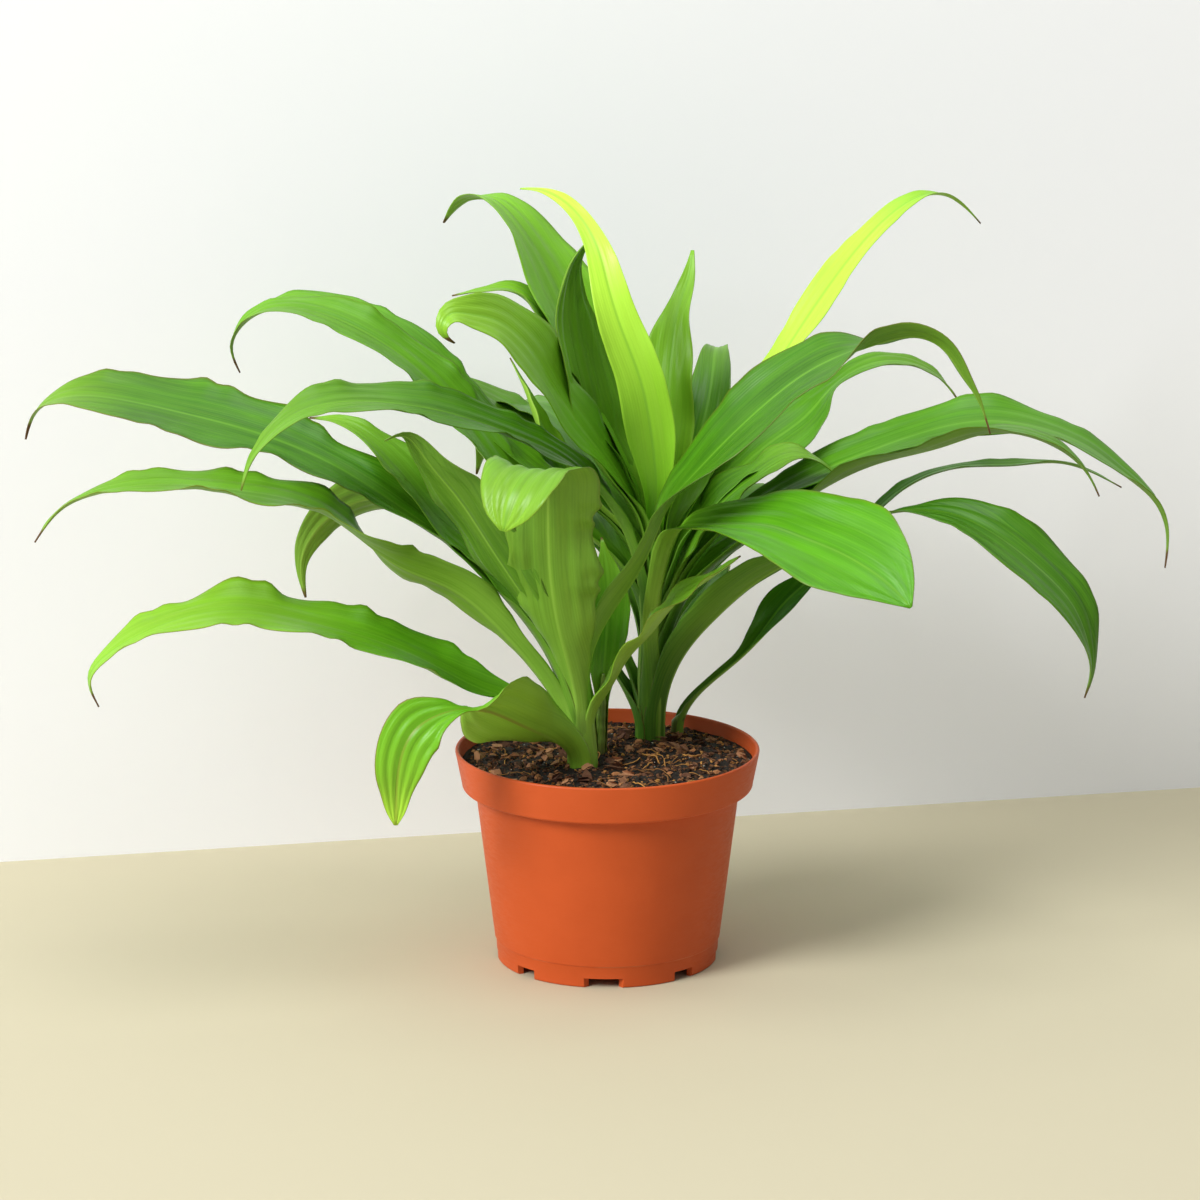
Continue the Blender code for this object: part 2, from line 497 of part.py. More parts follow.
def add_leaf(group, name, leaf):
    """One closed blade: a bent grid, split into triangles and made thick."""
    along = max(SHORTEST, round(route_length(leaf.route) / STATION))
    surface = leaf_surface(leaf, along, 2)
    mesh = bpy.data.meshes.new(name)
    shape = bmesh.new()
    bmesh.ops.create_grid(shape, x_segments=along, y_segments=2, size=1)
    for corner in shape.verts:
        i = round((corner.co.x + 1) / 2 * along)
        j = round(corner.co.y + 1)
        corner.co = surface[i, j] * MM
    bmesh.ops.triangulate(shape, faces=shape.faces, quad_method="FIXED")
    shape.to_mesh(mesh)
    shape.free()
    item = add_object(name, mesh, group)
    thick = item.modifiers.new("thickness", "SOLIDIFY")
    thick.thickness = BLADE * MM
    thick.offset = 0
    apply_modifiers(item)
    return item


def make_stem(name, group, material):
    """The stem as one round rod that is upright in the soil and leans and tapers above it."""
    (x, y), radius, low, above = SHOOTS[name]
    points = [(x, y, low, radius), (x, y, STEM_FREE, radius), *above]
    sleeve = bpy.data.curves.new(name, "CURVE")
    sleeve.dimensions = "3D"
    sleeve.bevel_depth = MM
    sleeve.bevel_resolution = (STEM_SIDES - 4) // 2
    sleeve.use_fill_caps = True
    line = sleeve.splines.new("POLY")
    line.points.add(len(points) - 1)
    for point, (px, py, pz, wide) in zip(line.points, points):
        point.co = (px * MM, py * MM, pz * MM, 1)
        point.radius = wide
    rod = bpy.data.objects.new(name, sleeve)
    group.objects.link(rod)
    mesh = finished_mesh(rod)
    bpy.data.objects.remove(rod, do_unlink=True)
    shape = bmesh.new()
    shape.from_mesh(mesh)
    bmesh.ops.remove_doubles(shape, verts=shape.verts, dist=MERGE)
    bmesh.ops.triangulate(shape, faces=shape.faces)
    shape.to_mesh(mesh)
    shape.free()
    return add_object(name, mesh, group, material)


def keep_main_body(mesh):
    """Drop loose scraps and the walls of sealed hollows: all but the piece with the most corners."""
    shape = bmesh.new()
    shape.from_mesh(mesh)
    shape.verts.ensure_lookup_table()
    unseen = set(shape.verts)
    pieces = []
    while unseen:
        queue = [unseen.pop()]
        piece = set(queue)
        while queue:
            for edge in queue.pop().link_edges:
                for corner in edge.verts:
                    if corner in unseen:
                        unseen.discard(corner)
                        piece.add(corner)
                        queue.append(corner)
        pieces.append(piece)
    main = max(pieces, key=len)
    bmesh.ops.delete(shape, geom=[corner for corner in shape.verts if corner not in main], context="VERTS")
    shape.to_mesh(mesh)
    shape.free()


def make_shoot(name, group, material):
    """A stem with its leaves grown together into one solid."""
    stem = make_stem(name, group, material)
    leaves = make_collection(name + "_leaves")
    for number, leaf in enumerate(LEAVES[name]):
        add_leaf(leaves, f"{name}_leaf_{number}", leaf)
    boolean(stem, "UNION", leaves, solver="MANIFOLD")
    keep_main_body(stem.data)
    stem.data.shade_smooth()
    stem.data.set_sharp_from_angle(angle=math.radians(SHARP_LEAF))
    return stem


def main():
    clear_scene()
    plant = make_collection("potted_dracaena")
    moulded = make_material("pot_plastic", POT_COLOUR, 0.5)
    earth = make_material("potting_soil", SOIL_COLOUR, 0.95)
    leaf_green = make_material("leaf_green", LEAF_COLOUR, 0.4)
    make_pot(plant, moulded)
    make_soil(plant, earth)
    for name in SHOOTS:
        make_shoot(name, plant, leaf_green)


main()
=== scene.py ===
"""A potted dracaena: arching leaves on two canes and two young shoots, in a nursery pot of soil.

Lengths are written in millimetres and built in metres, in the frame of the CAD solids:
+Z is up, -Y is the front and the origin is on the pot's axis where the pot stands.
"""
import json
import math
import random
from typing import NamedTuple

import bpy
import numpy as np
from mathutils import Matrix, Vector, noise

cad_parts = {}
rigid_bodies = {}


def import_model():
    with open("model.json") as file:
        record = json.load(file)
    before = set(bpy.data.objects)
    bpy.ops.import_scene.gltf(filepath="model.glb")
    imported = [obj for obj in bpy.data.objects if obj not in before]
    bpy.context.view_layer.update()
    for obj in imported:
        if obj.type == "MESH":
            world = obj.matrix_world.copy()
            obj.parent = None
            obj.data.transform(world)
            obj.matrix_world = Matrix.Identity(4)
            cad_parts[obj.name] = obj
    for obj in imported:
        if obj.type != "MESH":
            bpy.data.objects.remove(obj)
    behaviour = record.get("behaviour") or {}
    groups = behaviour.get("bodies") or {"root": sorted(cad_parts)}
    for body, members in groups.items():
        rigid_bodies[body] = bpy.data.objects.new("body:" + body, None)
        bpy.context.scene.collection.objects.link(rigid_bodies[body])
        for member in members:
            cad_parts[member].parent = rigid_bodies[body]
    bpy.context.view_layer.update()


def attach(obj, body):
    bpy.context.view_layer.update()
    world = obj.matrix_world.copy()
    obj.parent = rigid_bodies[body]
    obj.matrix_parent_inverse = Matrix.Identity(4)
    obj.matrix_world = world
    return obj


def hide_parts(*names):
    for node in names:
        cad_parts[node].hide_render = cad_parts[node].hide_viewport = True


MM = 0.001

# The camera and the room, from the photo's pot ellipses and the table's back edge
PHOTO_SIZE = 1200
CAMERA_PLACE = (-3.8, -2217, 722)
CAMERA_PITCH = 13.53
FOCAL_PIXELS = 4483
SENSOR = 36.0
WALL_PLACE = (0, 237)
WALL_TURN = 12.4
WALL_WIDTH = 2400
WALL_HEIGHT = 1500

# Leaf shapes
WIDTH_SHARE = ((0, 0.34), (0.12, 0.32), (0.3, 0.62), (0.48, 0.94), (0.6, 1.0), (0.74, 0.82), (0.86, 0.45),
               (0.94, 0.17), (1, 0.03))
LOW_SHARE = ((0, 0.36), (0.12, 0.42), (0.28, 0.9), (0.4, 1.0), (0.55, 0.85), (0.66, 0.7), (0.78, 0.45),
             (0.9, 0.22), (1, 0.05))
PETIOLE_SHARE = ((0, 0.3), (0.2, 0.24), (0.36, 0.42), (0.5, 0.86), (0.62, 1.0), (0.76, 0.8), (0.87, 0.45),
                 (0.94, 0.17), (1, 0.03))
CLASP = 1.4
ALONG_STEP = 3.0
ACROSS = 18
TIP_WIDTH = 0.5
BLADE_MIDDLE = 0.75
BLADE_EDGE = 0.35
RIB = 0.55
RIB_WIDTH = 1.1
GROOVE = 0.5

# Margins: the length of their long and short waves, how far they stand out and how far they reach
LONG_WAVE = 53.0
SHORT_WAVE = 23.0
SHORT_SHARE = 0.5
WAVE_OUT = 1.7
WAVE_WIDTH = 0.085
PLEATS = 2.5

# Leaf bases that wrap the stem from the soil up: the innermost and outermost radius on each shoot
SHEATH_FOOT = 101.0
SHEATH_WRAP = 1.7
SHEATH_RADII = {"cane_front": (4.4, 6.9), "cane_back": (3.6, 7.4), "shoot_middle": (3.2, 3.9),
                "shoot_right": (2.8, 3.2)}
UNWRAP = 26.0
STEM_FREE = 112.0
BASE_SHADE = {"cane_front": 0.1, "cane_back": 0.9, "shoot_middle": 0.5, "shoot_right": 0.3}
SEAM = 0.45

# The pot, as in its solid
RIM_RADIUS = 78.0
POT_HEIGHT = 111.0
COLLAR_FOOT_RADIUS = 74.7
COLLAR_FOOT = 91.3
WALL_TOP_RADIUS = 67.7
WALL_FOOT_RADIUS = 58.2
STEP_LEVEL = 11.5
FOOT_RADIUS = 57.0
FOOT_RING = 3.0
POT_WALL = 1.5
FLOOR_UNDER = 5.6
FLOOR_TOP = 7.2
POT_TURNS = 192
NOTCH_HEIGHT = 5.0
FIRST_NOTCH = 268.0
NOTCH_WIDTHS = ((25.0, 12.7), (14.0, 9.0)) * 4
DRAIN_RADIUS = 4.0
DRAIN_CIRCLE = 40.0
DRAIN_HOLES = 6

# The soil, as in the pot's solid filling
SOIL_EDGE = 104.0
SOIL_CROWN = 3.0
SOIL_REACH = 74.6
SOIL_SIDE = ((74.5, 103.0), (72.9, 94.5), (71.4, 93.0), (66.4, 92.2), (65.9, 89.6), (56.6, 12.5),
             (55.9, 9.1), (54.0, 7.5))
SOIL_GRAIN = ((9.0, 1.3), (4.0, 1.0), (1.9, 0.7))
FIBRES = 70

# Colours
UPPER_COLOURS = {"Dark": (0.020, 0.115, 0.001), "Mid": (0.10, 0.37, 0.005), "Lime": (0.50, 0.84, 0.06),
                 "Rib": (0.18, 0.43, 0.03), "Margin": (0.22, 0.10, 0.02), "Dry": (0.14, 0.07, 0.025)}
UNDER_COLOURS = {"Dark": (0.050, 0.17, 0.006), "Mid": (0.18, 0.40, 0.016), "Lime": (0.54, 0.84, 0.12),
                 "Rib": (0.28, 0.50, 0.06), "Margin": (0.24, 0.11, 0.025), "Dry": (0.14, 0.07, 0.025)}
LEAF_BODY = {"Specular_IOR_Level": 0.28}
POT_DEEP = (0.53, 0.076, 0.011, 1)
POT_BRIGHT = (0.60, 0.092, 0.016, 1)
POT_RUBBED = (0.66, 0.20, 0.08, 1)
TABLE_COLOUR = (0.56, 0.505, 0.35)
WALL_COLOUR = (0.95, 0.96, 0.99)
FLOOR_REACH = 6000

# The studio's lamps: name, place, what it points at, width, power and colour
ROOM_LIGHT = 0.28
LAMPS = (
    ("key_left", (-3.2, -2.55, 2.9), (0.5, 0.1, 0.3), 2.2, 245, (0.97, 0.985, 1)),
    ("top_soft", (0.2, -0.5, 2.4), (0.2, 0.1, 0), 1.6, 26, (0.96, 0.98, 1)),
)

# The stems: place, radius, buried end, and the part above the soil as (x, y, z, radius)
SHOOTS = {
    "cane_front": ((-13, -21), 5.2, 60, ((-14, -21, 140, 4.2), (-17, -22, 160, 3.0), (-19, -23, 174, 1.2))),
    "cane_back": ((22, 34), 4.6, 60, ((23, 34, 150, 3.8), (25, 33, 185, 3.2), (26, 33, 212, 2.2),
                                      (27, 33, 230, 1.0))),
    "shoot_middle": ((-4, 2), 3.2, 75, ((-3, 3, 132, 2.6), (-2, 3, 150, 1.0))),
    "shoot_right": ((36, 45), 2.8, 80, ((39, 45, 115, 2.2), (42, 46, 121, 1.0))),
}


class Leaf(NamedTuple):
    """A leaf: its widest width, its midrib's points, and how it turns, cups and waves along them."""

    width: float
    route: tuple
    turn: tuple = ((0, 0), (1, 0))
    cup: float = 0.5
    wave: float = 1.6
    waves: float = 4.5
    share: tuple = WIDTH_SHARE


LEAVES = {
    "cane_front": (
        Leaf(46, ((-15, -23, 113), (-28, -34, 125), (-40, -46, 134), (-52, -58, 143), (-63, -70, 150),
                  (-74, -79, 152), (-86, -83, 149), (-95, -86, 143), (-101, -87, 132), (-104, -86, 116),
                  (-105, -84, 94)),
             turn=((0, 35), (0.15, 60), (0.42, 55), (0.5, 0), (0.6, -45), (1, -60)), cup=0.35,
             share=((0, 0.4), (0.12, 0.7), (0.25, 0.96), (0.36, 1), (0.44, 0.7), (0.5, 0.2), (0.58, 0.35),
                    (0.68, 0.64), (0.8, 0.56), (0.9, 0.34), (0.96, 0.2), (1, 0.04))),
        Leaf(40, ((-15, -21, 116), (-36, -28, 138), (-63, -36, 151), (-91, -45, 168), (-123, -53, 183),
                  (-150, -60, 192), (-187, -70, 200), (-216, -79, 196), (-241, -86, 185), (-254, -90, 170),
                  (-250, -89, 156)),
             turn=((0, 0), (0.22, -24), (0.45, -22), (0.7, -18), (1, 0)),
             share=((0, 0.3), (0.12, 0.36), (0.22, 0.7), (0.32, 0.95), (0.46, 0.86), (0.6, 1), (0.72, 0.86),
                    (0.82, 0.58), (0.9, 0.3), (1, 0.03))),
        Leaf(42, ((-16, -21, 120), (-32, -23, 152), (-54, -25, 180), (-79, -28, 202), (-104, -31, 214),
                  (-121, -33, 227), (-143, -35, 243), (-183, -39, 254), (-222, -43, 258), (-251, -46, 255),
                  (-270, -48, 247), (-284, -50, 230)),
             turn=((0, 30), (0.2, 60), (0.36, 50), (0.48, 0), (0.7, -8), (1, 0))),
        Leaf(52, ((-17, -21, 126), (-31, -18, 166), (-49, -16, 191), (-79, -12, 221), (-105, -8, 239),
                  (-130, -5, 255), (-155, -1, 267), (-185, 3, 277), (-216, 8, 284), (-247, 12, 290),
                  (-272, 15, 291), (-289, 18, 284), (-296, 20, 268)),
             turn=((0, 0), (0.35, -12), (0.6, -22), (0.85, -20), (1, 0)),
             share=((0, 0.34), (0.15, 0.34), (0.3, 0.42), (0.45, 0.62), (0.6, 0.88), (0.72, 1), (0.82, 0.9),
                    (0.9, 0.5), (0.95, 0.2), (1, 0.04))),
        Leaf(38, ((-16, -20, 130), (-34, -13, 175), (-65, -2, 212), (-88, 6, 237), (-103, 12, 254),
                  (-118, 17, 268), (-134, 23, 276), (-152, 30, 277)),
             turn=((0, 0), (1, -15))),
        Leaf(48, ((-18, -22, 139), (-24, -26, 166), (-39, -36, 195), (-59, -46, 228), (-75, -55, 255),
                  (-89, -62, 275), (-100, -68, 288), (-109, -73, 286)),
             turn=((0, 0), (0.4, 15), (1, 20)), cup=0.35),
        Leaf(48, ((-18, -25, 138), (-23, -38, 178), (-28, -54, 212), (-29, -74, 246), (-29, -93, 268),
                  (-32, -109, 279), (-39, -121, 279), (-46, -129, 269), (-50, -132, 254)),
             turn=((0, 0), (0.7, 0), (1, 15)), cup=0.35, wave=3.0,
             share=((0, 0.35), (0.15, 0.6), (0.35, 1), (0.6, 1), (0.78, 1), (0.9, 0.85), (0.96, 0.55),
                    (1, 0.08))),
        Leaf(46, ((-14, -22, 122), (-9, -22, 163), (1, -23, 187), (13, -25, 206), (22, -26, 225),
                  (29, -27, 242), (42, -30, 259), (58, -33, 277), (78, -37, 297), (96, -40, 312),
                  (115, -44, 323), (136, -47, 331), (151, -50, 334), (164, -52, 329), (174, -54, 316),
                  (182, -55, 303), (188, -56, 286)),
             turn=((0, 0), (0.2, -20), (0.35, 0), (0.5, 30), (0.68, 30), (0.78, -25), (0.92, -25), (1, 0))),
        Leaf(34, ((-12, -21, 114), (-7, -21, 134), (0, -20, 147), (11, -19, 165), (21, -19, 176),
                  (34, -18, 192), (49, -17, 203), (67, -15, 215)),
             turn=((0, 0), (0.4, -15), (1, 10))),
    ),
    "cane_back": (
        Leaf(36, ((22, 34, 158), (11, 29, 213), (-6, 21, 244), (-27, 12, 263), (-49, 2, 275), (-74, -9, 286),
                  (-103, -24, 295), (-130, -39, 299), (-149, -50, 297), (-161, -59, 291), (-170, -68, 282),
                  (-176, -75, 272), (-179, -77, 262)),
             turn=((0, 0), (0.4, -25), (0.75, -20), (1, 0))),
        Leaf(34, ((23, 35, 180), (-1, 45, 222), (-32, 57, 242), (-57, 67, 260), (-77, 76, 281),
                  (-96, 83, 298), (-119, 92, 314), (-142, 100, 323), (-163, 107, 326), (-181, 113, 320),
                  (-197, 119, 305)),
             turn=((0, 0), (0.4, -8), (0.8, -8), (1, 0))),
        Leaf(38, ((22, 34, 168), (-3, 38, 208), (-40, 43, 233), (-68, 47, 265), (-91, 50, 293),
                  (-114, 53, 311), (-137, 56, 323), (-158, 59, 329), (-175, 62, 328), (-187, 63, 321),
                  (-194, 64, 308), (-190, 64, 294)),
             turn=((0, 0), (0.4, -18), (0.8, -16), (1, 0))),
        Leaf(46, ((23, 33, 190), (15, 29, 228), (1, 21, 255), (-16, 10, 280), (-30, 2, 304), (-41, -6, 322),
                  (-55, -14, 335), (-69, -23, 340), (-79, -29, 340), (-82, -31, 334), (-76, -27, 326)),
             turn=((0, 0), (0.3, -40), (0.8, -50), (1, -20)), cup=0.35),
        Leaf(54, ((24, 34, 198), (17, 38, 236), (4, 49, 272), (-12, 62, 306), (-27, 75, 338), (-40, 86, 360),
                  (-52, 96, 374), (-61, 104, 379), (-75, 115, 376), (-86, 125, 363)),
             turn=((0, 0), (0.5, 0), (0.8, 10), (1, 0)), wave=1.2),
        Leaf(28, ((26, 33, 204), (25, 28, 239), (22, 24, 271), (16, 22, 300), (7, 24, 324), (0, 30, 346),
                  (-5, 38, 363), (-13, 50, 376), (-23, 63, 384), (-34, 77, 387), (-45, 90, 386)),
             turn=((0, -50), (0.4, -50), (1, -30)), cup=0.7, wave=1.2,
             share=((0, 0.3), (0.12, 0.5), (0.3, 1), (0.45, 0.9), (0.6, 0.7), (0.72, 0.45), (0.85, 0.25),
                    (1, 0.03))),
        Leaf(50, ((24, 33, 186), (12, 32, 236), (-6, 32, 265), (-13, 34, 291), (-19, 38, 318),
                  (-20, 43, 340), (-16, 48, 356), (-8, 53, 366)),
             turn=((0, 0), (1, 0)), cup=0.8, wave=1.0),
        Leaf(36, ((26, 33, 202), (27, 36, 240), (29, 42, 268), (31, 48, 293), (33, 54, 313), (37, 62, 330),
                  (42, 70, 344), (44, 76, 356)),
             turn=((0, 0), (1, 0)), cup=0.4, share=LOW_SHARE),
        Leaf(28, ((27, 34, 194), (39, 48, 235), (50, 66, 268), (55, 84, 290), (57, 104, 299), (60, 124, 294),
                  (63, 138, 280)), cup=0.4, share=LOW_SHARE),
        Leaf(20, ((26, 34, 188), (38, 43, 218), (53, 52, 243), (69, 62, 269), (86, 72, 294), (104, 83, 320),
                  (124, 95, 346), (139, 105, 362), (154, 116, 373), (171, 127, 378), (185, 136, 373),
                  (198, 141, 360)),
             turn=((0, 0), (0.3, 10), (0.7, 15), (0.85, 5), (1, 0)), cup=0.4),
        Leaf(42, ((26, 33, 176), (42, 40, 216), (63, 47, 241), (84, 54, 259), (104, 61, 273), (116, 65, 286),
                  (127, 68, 294), (140, 72, 298), (156, 78, 297), (171, 82, 290), (183, 86, 276)),
             turn=((0, 0), (0.3, 15), (0.56, 30), (0.68, -10), (0.8, 20), (1, 0)),
             share=((0, 0.3), (0.16, 0.34), (0.36, 0.7), (0.5, 0.95), (0.61, 0.66), (0.69, 0.32), (0.78, 0.5),
                    (0.88, 0.32), (0.95, 0.12), (1, 0.03))),
        Leaf(39, ((25, 34, 160), (43, 35, 198), (68, 37, 224), (99, 39, 242), (130, 42, 255), (161, 44, 266),
                  (192, 46, 272), (223, 48, 268), (249, 50, 257), (268, 51, 243), (282, 52, 231),
                  (290, 53, 215), (290, 53, 193)),
             turn=((0, 0), (0.3, 14), (0.6, 18), (0.8, 10), (1, 0))),
        Leaf(44, ((24, 33, 146), (46, 30, 191), (78, 26, 219), (109, 22, 242), (139, 18, 257), (169, 13, 266),
                  (194, 10, 274), (216, 7, 272), (234, 4, 263), (244, 3, 252), (249, 2, 242)),
             turn=((0, 0), (0.3, 10), (0.6, -10), (1, 0))),
        Leaf(44, ((24, 33, 120), (38, 29, 151), (56, 23, 175), (77, 15, 196), (104, 5, 214), (128, -4, 230),
                  (150, -12, 238), (172, -20, 238), (194, -29, 229), (216, -37, 213), (232, -42, 196),
                  (240, -45, 177), (242, -46, 163), (239, -45, 149)),
             turn=((0, 0), (0.2, -20), (0.4, -10), (0.55, 10), (0.7, 20), (1, 0)),
             share=((0, 0.34), (0.16, 0.7), (0.28, 0.85), (0.42, 0.5), (0.53, 0.18), (0.62, 0.55), (0.75, 1),
                    (0.87, 0.7), (0.95, 0.25), (1, 0.03))),
        Leaf(62, ((23, 33, 132), (25, 27, 170), (29, 14, 206), (36, -1, 226), (47, -17, 232), (65, -34, 236),
                  (81, -50, 238), (96, -66, 236), (111, -81, 233), (125, -95, 228), (137, -107, 221),
                  (146, -117, 213)),
             turn=((0, 0), (0.35, 10), (0.5, 26), (0.7, 30), (1, 34)), cup=0.8, wave=1.2,
             share=((0, 0.26), (0.3, 0.24), (0.42, 0.28), (0.52, 0.5), (0.66, 0.76), (0.82, 1), (0.9, 0.74),
                    (0.96, 0.36), (1, 0.03))),
        Leaf(34, ((25, 34, 168), (42, 33, 205), (58, 33, 231), (78, 32, 248), (96, 31, 257), (109, 31, 254),
                  (118, 31, 246)),
             turn=((0, 0), (0.5, 20), (1, 0))),
        Leaf(36, ((20, 35, 114), (7, 43, 134), (-4, 49, 150), (-22, 59, 174), (-56, 79, 202), (-94, 101, 214),
                  (-121, 117, 217), (-143, 129, 208), (-159, 137, 191), (-165, 141, 174), (-163, 141, 156)),
             turn=((0, 0), (0.45, 0), (0.7, 40), (1, 55)), share=PETIOLE_SHARE),
        Leaf(34, ((21, 36, 119), (10, 44, 144), (-1, 53, 167), (-14, 64, 200), (-33, 80, 242), (-48, 93, 266),
                  (-67, 109, 275), (-86, 125, 279), (-100, 136, 271)), share=PETIOLE_SHARE),
        Leaf(20, ((23, 34, 172), (17, 36, 206), (-4, 38, 230), (-22, 40, 253), (-32, 43, 265),
                  (-41, 47, 286), (-50, 52, 304)), cup=1.2, wave=0.4),
        Leaf(34, ((24, 34, 194), (16, 36, 232), (-4, 42, 273), (-24, 48, 311), (-37, 52, 331), (-50, 58, 339),
                  (-63, 62, 338), (-80, 66, 334)),
             turn=((0, 0), (0.6, 0), (1, -10))),
        Leaf(44, ((25, 35, 184), (27, 60, 222), (30, 90, 250), (34, 120, 253), (38, 136, 235),
                  (40, 141, 205))),
        Leaf(42, ((23, 35, 152), (8, 60, 190), (-8, 92, 215), (-25, 122, 215), (-38, 137, 190),
                  (-44, 141, 165))),
        Leaf(42, ((24, 36, 142), (45, 60, 182), (72, 92, 210), (98, 120, 215), (115, 135, 198),
                  (122, 140, 182))),
        Leaf(36, ((23, 37, 126), (33, 62, 152), (45, 95, 173), (58, 123, 178), (66, 137, 168)),
             share=PETIOLE_SHARE),
        Leaf(42, ((24, 35, 186), (2, 55, 232), (-22, 85, 262), (-45, 112, 268), (-62, 130, 250),
                  (-70, 138, 225))),
    ),
    "shoot_middle": (
        Leaf(24, ((-4, 2, 120), (-2, 5, 145), (0, 8, 175), (0, 11, 200), (-3, 14, 218)), cup=0.8, wave=0.8),
        Leaf(24, ((-5, 2, 116), (-10, 8, 134), (-22, 18, 160), (-40, 30, 182), (-58, 40, 190),
                  (-72, 48, 184)), cup=0.6, wave=1.0),
    ),
    "shoot_right": (
        Leaf(22, ((37, 45, 112), (51, 48, 130), (73, 52, 149), (91, 56, 172), (108, 60, 187), (126, 64, 204),
                  (142, 67, 222), (160, 71, 235), (184, 76, 242), (211, 81, 242), (238, 87, 242),
                  (257, 91, 235), (271, 94, 227)),
             turn=((0, 0), (0.3, 25), (0.5, 5), (1, 0)), wave=0.8,
             share=((0, 0.3), (0.14, 0.34), (0.21, 0.7), (0.28, 1), (0.34, 0.65), (0.4, 0.36), (0.6, 0.5),
                    (0.78, 0.5), (0.89, 0.34), (0.95, 0.16), (1, 0.04))),
    ),
}


class Look(NamedTuple):
    """A leaf's finish: its lightness (its own tone together with painted light and shade), lime flush, pleats,
    dry tip, red margin and midrib, and ruffles.
    """

    light: float = 0.45
    lime: tuple = ((0, 0.3), (0.5, 0.06), (1, 0.3))
    pleat: float = 0.3
    dry: float = 0.6
    margin: float = 0.2
    blush: float = 0.0
    ruffle: float = 0.7


# Each leaf's lightness is partly its own tone and partly painted light and shade, set leaf by leaf for how much
# light reaches it
LOOKS = {
    "cane_front": {
        0: Look(1.0, ((0, 0.15), (0.45, 0.2), (0.55, 0.1), (0.7, 0.15), (0.85, 0.35), (1, 1)), pleat=0.9, dry=0,
                margin=0.8, blush=0.8, ruffle=0.3),
        1: Look(0.65, ((0, 0.2), (0.35, 0.05), (0.6, 0.25), (0.85, 0.4), (1, 0.35)), dry=1, margin=0.5,
                ruffle=1.0),
        2: Look(0.45, ((0, 0.3), (0.5, 0.1), (0.85, 0.2), (1, 0.3)), dry=0.8, margin=0.5, ruffle=0.9),
        3: Look(0.2, ((0, 0.2), (0.5, 0.03), (0.8, 0.06), (0.92, 0.25), (1, 0.35)), dry=0.9, margin=0.5,
                ruffle=0.8),
        5: Look(0.15, ((0, 0.15), (0.5, 0.05), (1, 0.1)), pleat=1.2, dry=0.1, ruffle=0.3),
        6: Look(0.3, ((0, 0.3), (0.5, 0.12), (0.75, 0.15), (1, 0.4)), pleat=0.8, dry=0, ruffle=1.2),
        7: Look(0.15, ((0, 0.4), (0.25, 0.2), (0.45, 0.03), (0.72, 0.05), (1, 0.2)), dry=0.9, margin=0.4,
                ruffle=0.25),
        8: Look(0.6, ((0, 0.3), (1, 0.35)), margin=0.5),
    },
    "cane_back": {
        0: Look(0.3, ((0, 0.2), (0.5, 0.05), (0.8, 0.15), (1, 0.25)), dry=0.5),
        1: Look(0.5, ((0, 0.2), (0.6, 0.08), (1, 0.2))),
        2: Look(0.55, ((0, 0.2), (0.6, 0.1), (1, 0.2)), dry=1),
        3: Look(0.6, ((0, 0.2), (0.4, 0.1), (0.8, 0.35), (1, 0.45)), dry=1, ruffle=0.3),
        4: Look(0.95, ((0, 0.2), (0.6, 0.2), (1, 0.25)), pleat=0.6, ruffle=0.3),
        5: Look(1.0, ((0, 0.2), (0.25, 0.4), (0.45, 0.65), (0.65, 0.95), (1, 1)), pleat=0.15, dry=0,
                margin=0.1, ruffle=0.15),
        6: Look(0.45, ((0, 0.2), (1, 0.15)), pleat=1.5, ruffle=0.2),
        7: Look(0.6, ((0, 0.3), (1, 0.3)), dry=0.3, ruffle=0.2),
        8: Look(0.2, ruffle=0.3),
        9: Look(1.0, ((0, 0.3), (0.2, 0.8), (0.7, 0.9), (0.88, 0.4), (1, 0.2)), ruffle=0.25),
        10: Look(0.35, ((0, 0.2), (0.6, 0.05), (1, 0.25))),
        11: Look(0.5, ((0, 0.2), (0.5, 0.05), (0.9, 0.1), (1, 0.3)), dry=1, ruffle=0.35),
        12: Look(0.35, ((0, 0.2), (0.6, 0.05), (1, 0.15)), ruffle=0.35),
        13: Look(0.2, ((0, 0.2), (0.4, 0.02), (1, 0.08)), pleat=0.5, ruffle=0.35),
        14: Look(0.75, ((0, 0.4), (0.4, 0.2), (0.6, 0), (1, 0)), pleat=0.7, dry=0.2, margin=0.3,
                 ruffle=0.15),
        15: Look(0.2),
        16: Look(0.35, ((0, 0.3), (0.6, 0.05), (1, 0.2)), pleat=0.5, ruffle=0.6),
        18: Look(0.8, ((0, 0.3), (1, 0.5))),
    },
    "shoot_middle": {},
    "shoot_right": {0: Look(0.25, ((0, 0.3), (0.3, 0), (1, 0.1)), pleat=0.2, ruffle=0.3)},
}


def curve_through(points, count):
    """Points at even steps of length along a natural cubic spline through the given ones."""
    p = np.asarray(points, float)
    size = len(p)
    t = np.concatenate([[0], np.cumsum(np.linalg.norm(np.diff(p, axis=0), axis=1))])
    step = np.diff(t)
    system = np.eye(size)
    right = np.zeros_like(p)
    for i in range(1, size - 1):
        system[i, i - 1:i + 2] = step[i - 1], 2 * (step[i - 1] + step[i]), step[i]
        right[i] = 6 * ((p[i + 1] - p[i]) / step[i] - (p[i] - p[i - 1]) / step[i - 1])
    bend = np.linalg.solve(system, right)

    def at(where):
        i = np.clip(np.searchsorted(t, where, side="right") - 1, 0, size - 2)
        after, before, gap = (t[i + 1] - where)[:, None], (where - t[i])[:, None], step[i][:, None]
        return ((bend[i] * after ** 3 + bend[i + 1] * before ** 3) / (6 * gap)
                + (p[i] / gap - bend[i] * gap / 6) * after
                + (p[i + 1] / gap - bend[i + 1] * gap / 6) * before)

    fine = np.linspace(0, t[-1], 600)
    run = np.concatenate([[0], np.cumsum(np.linalg.norm(np.diff(at(fine), axis=0), axis=1))])
    return at(np.interp(np.linspace(0, run[-1], count), run, fine)), run[-1]


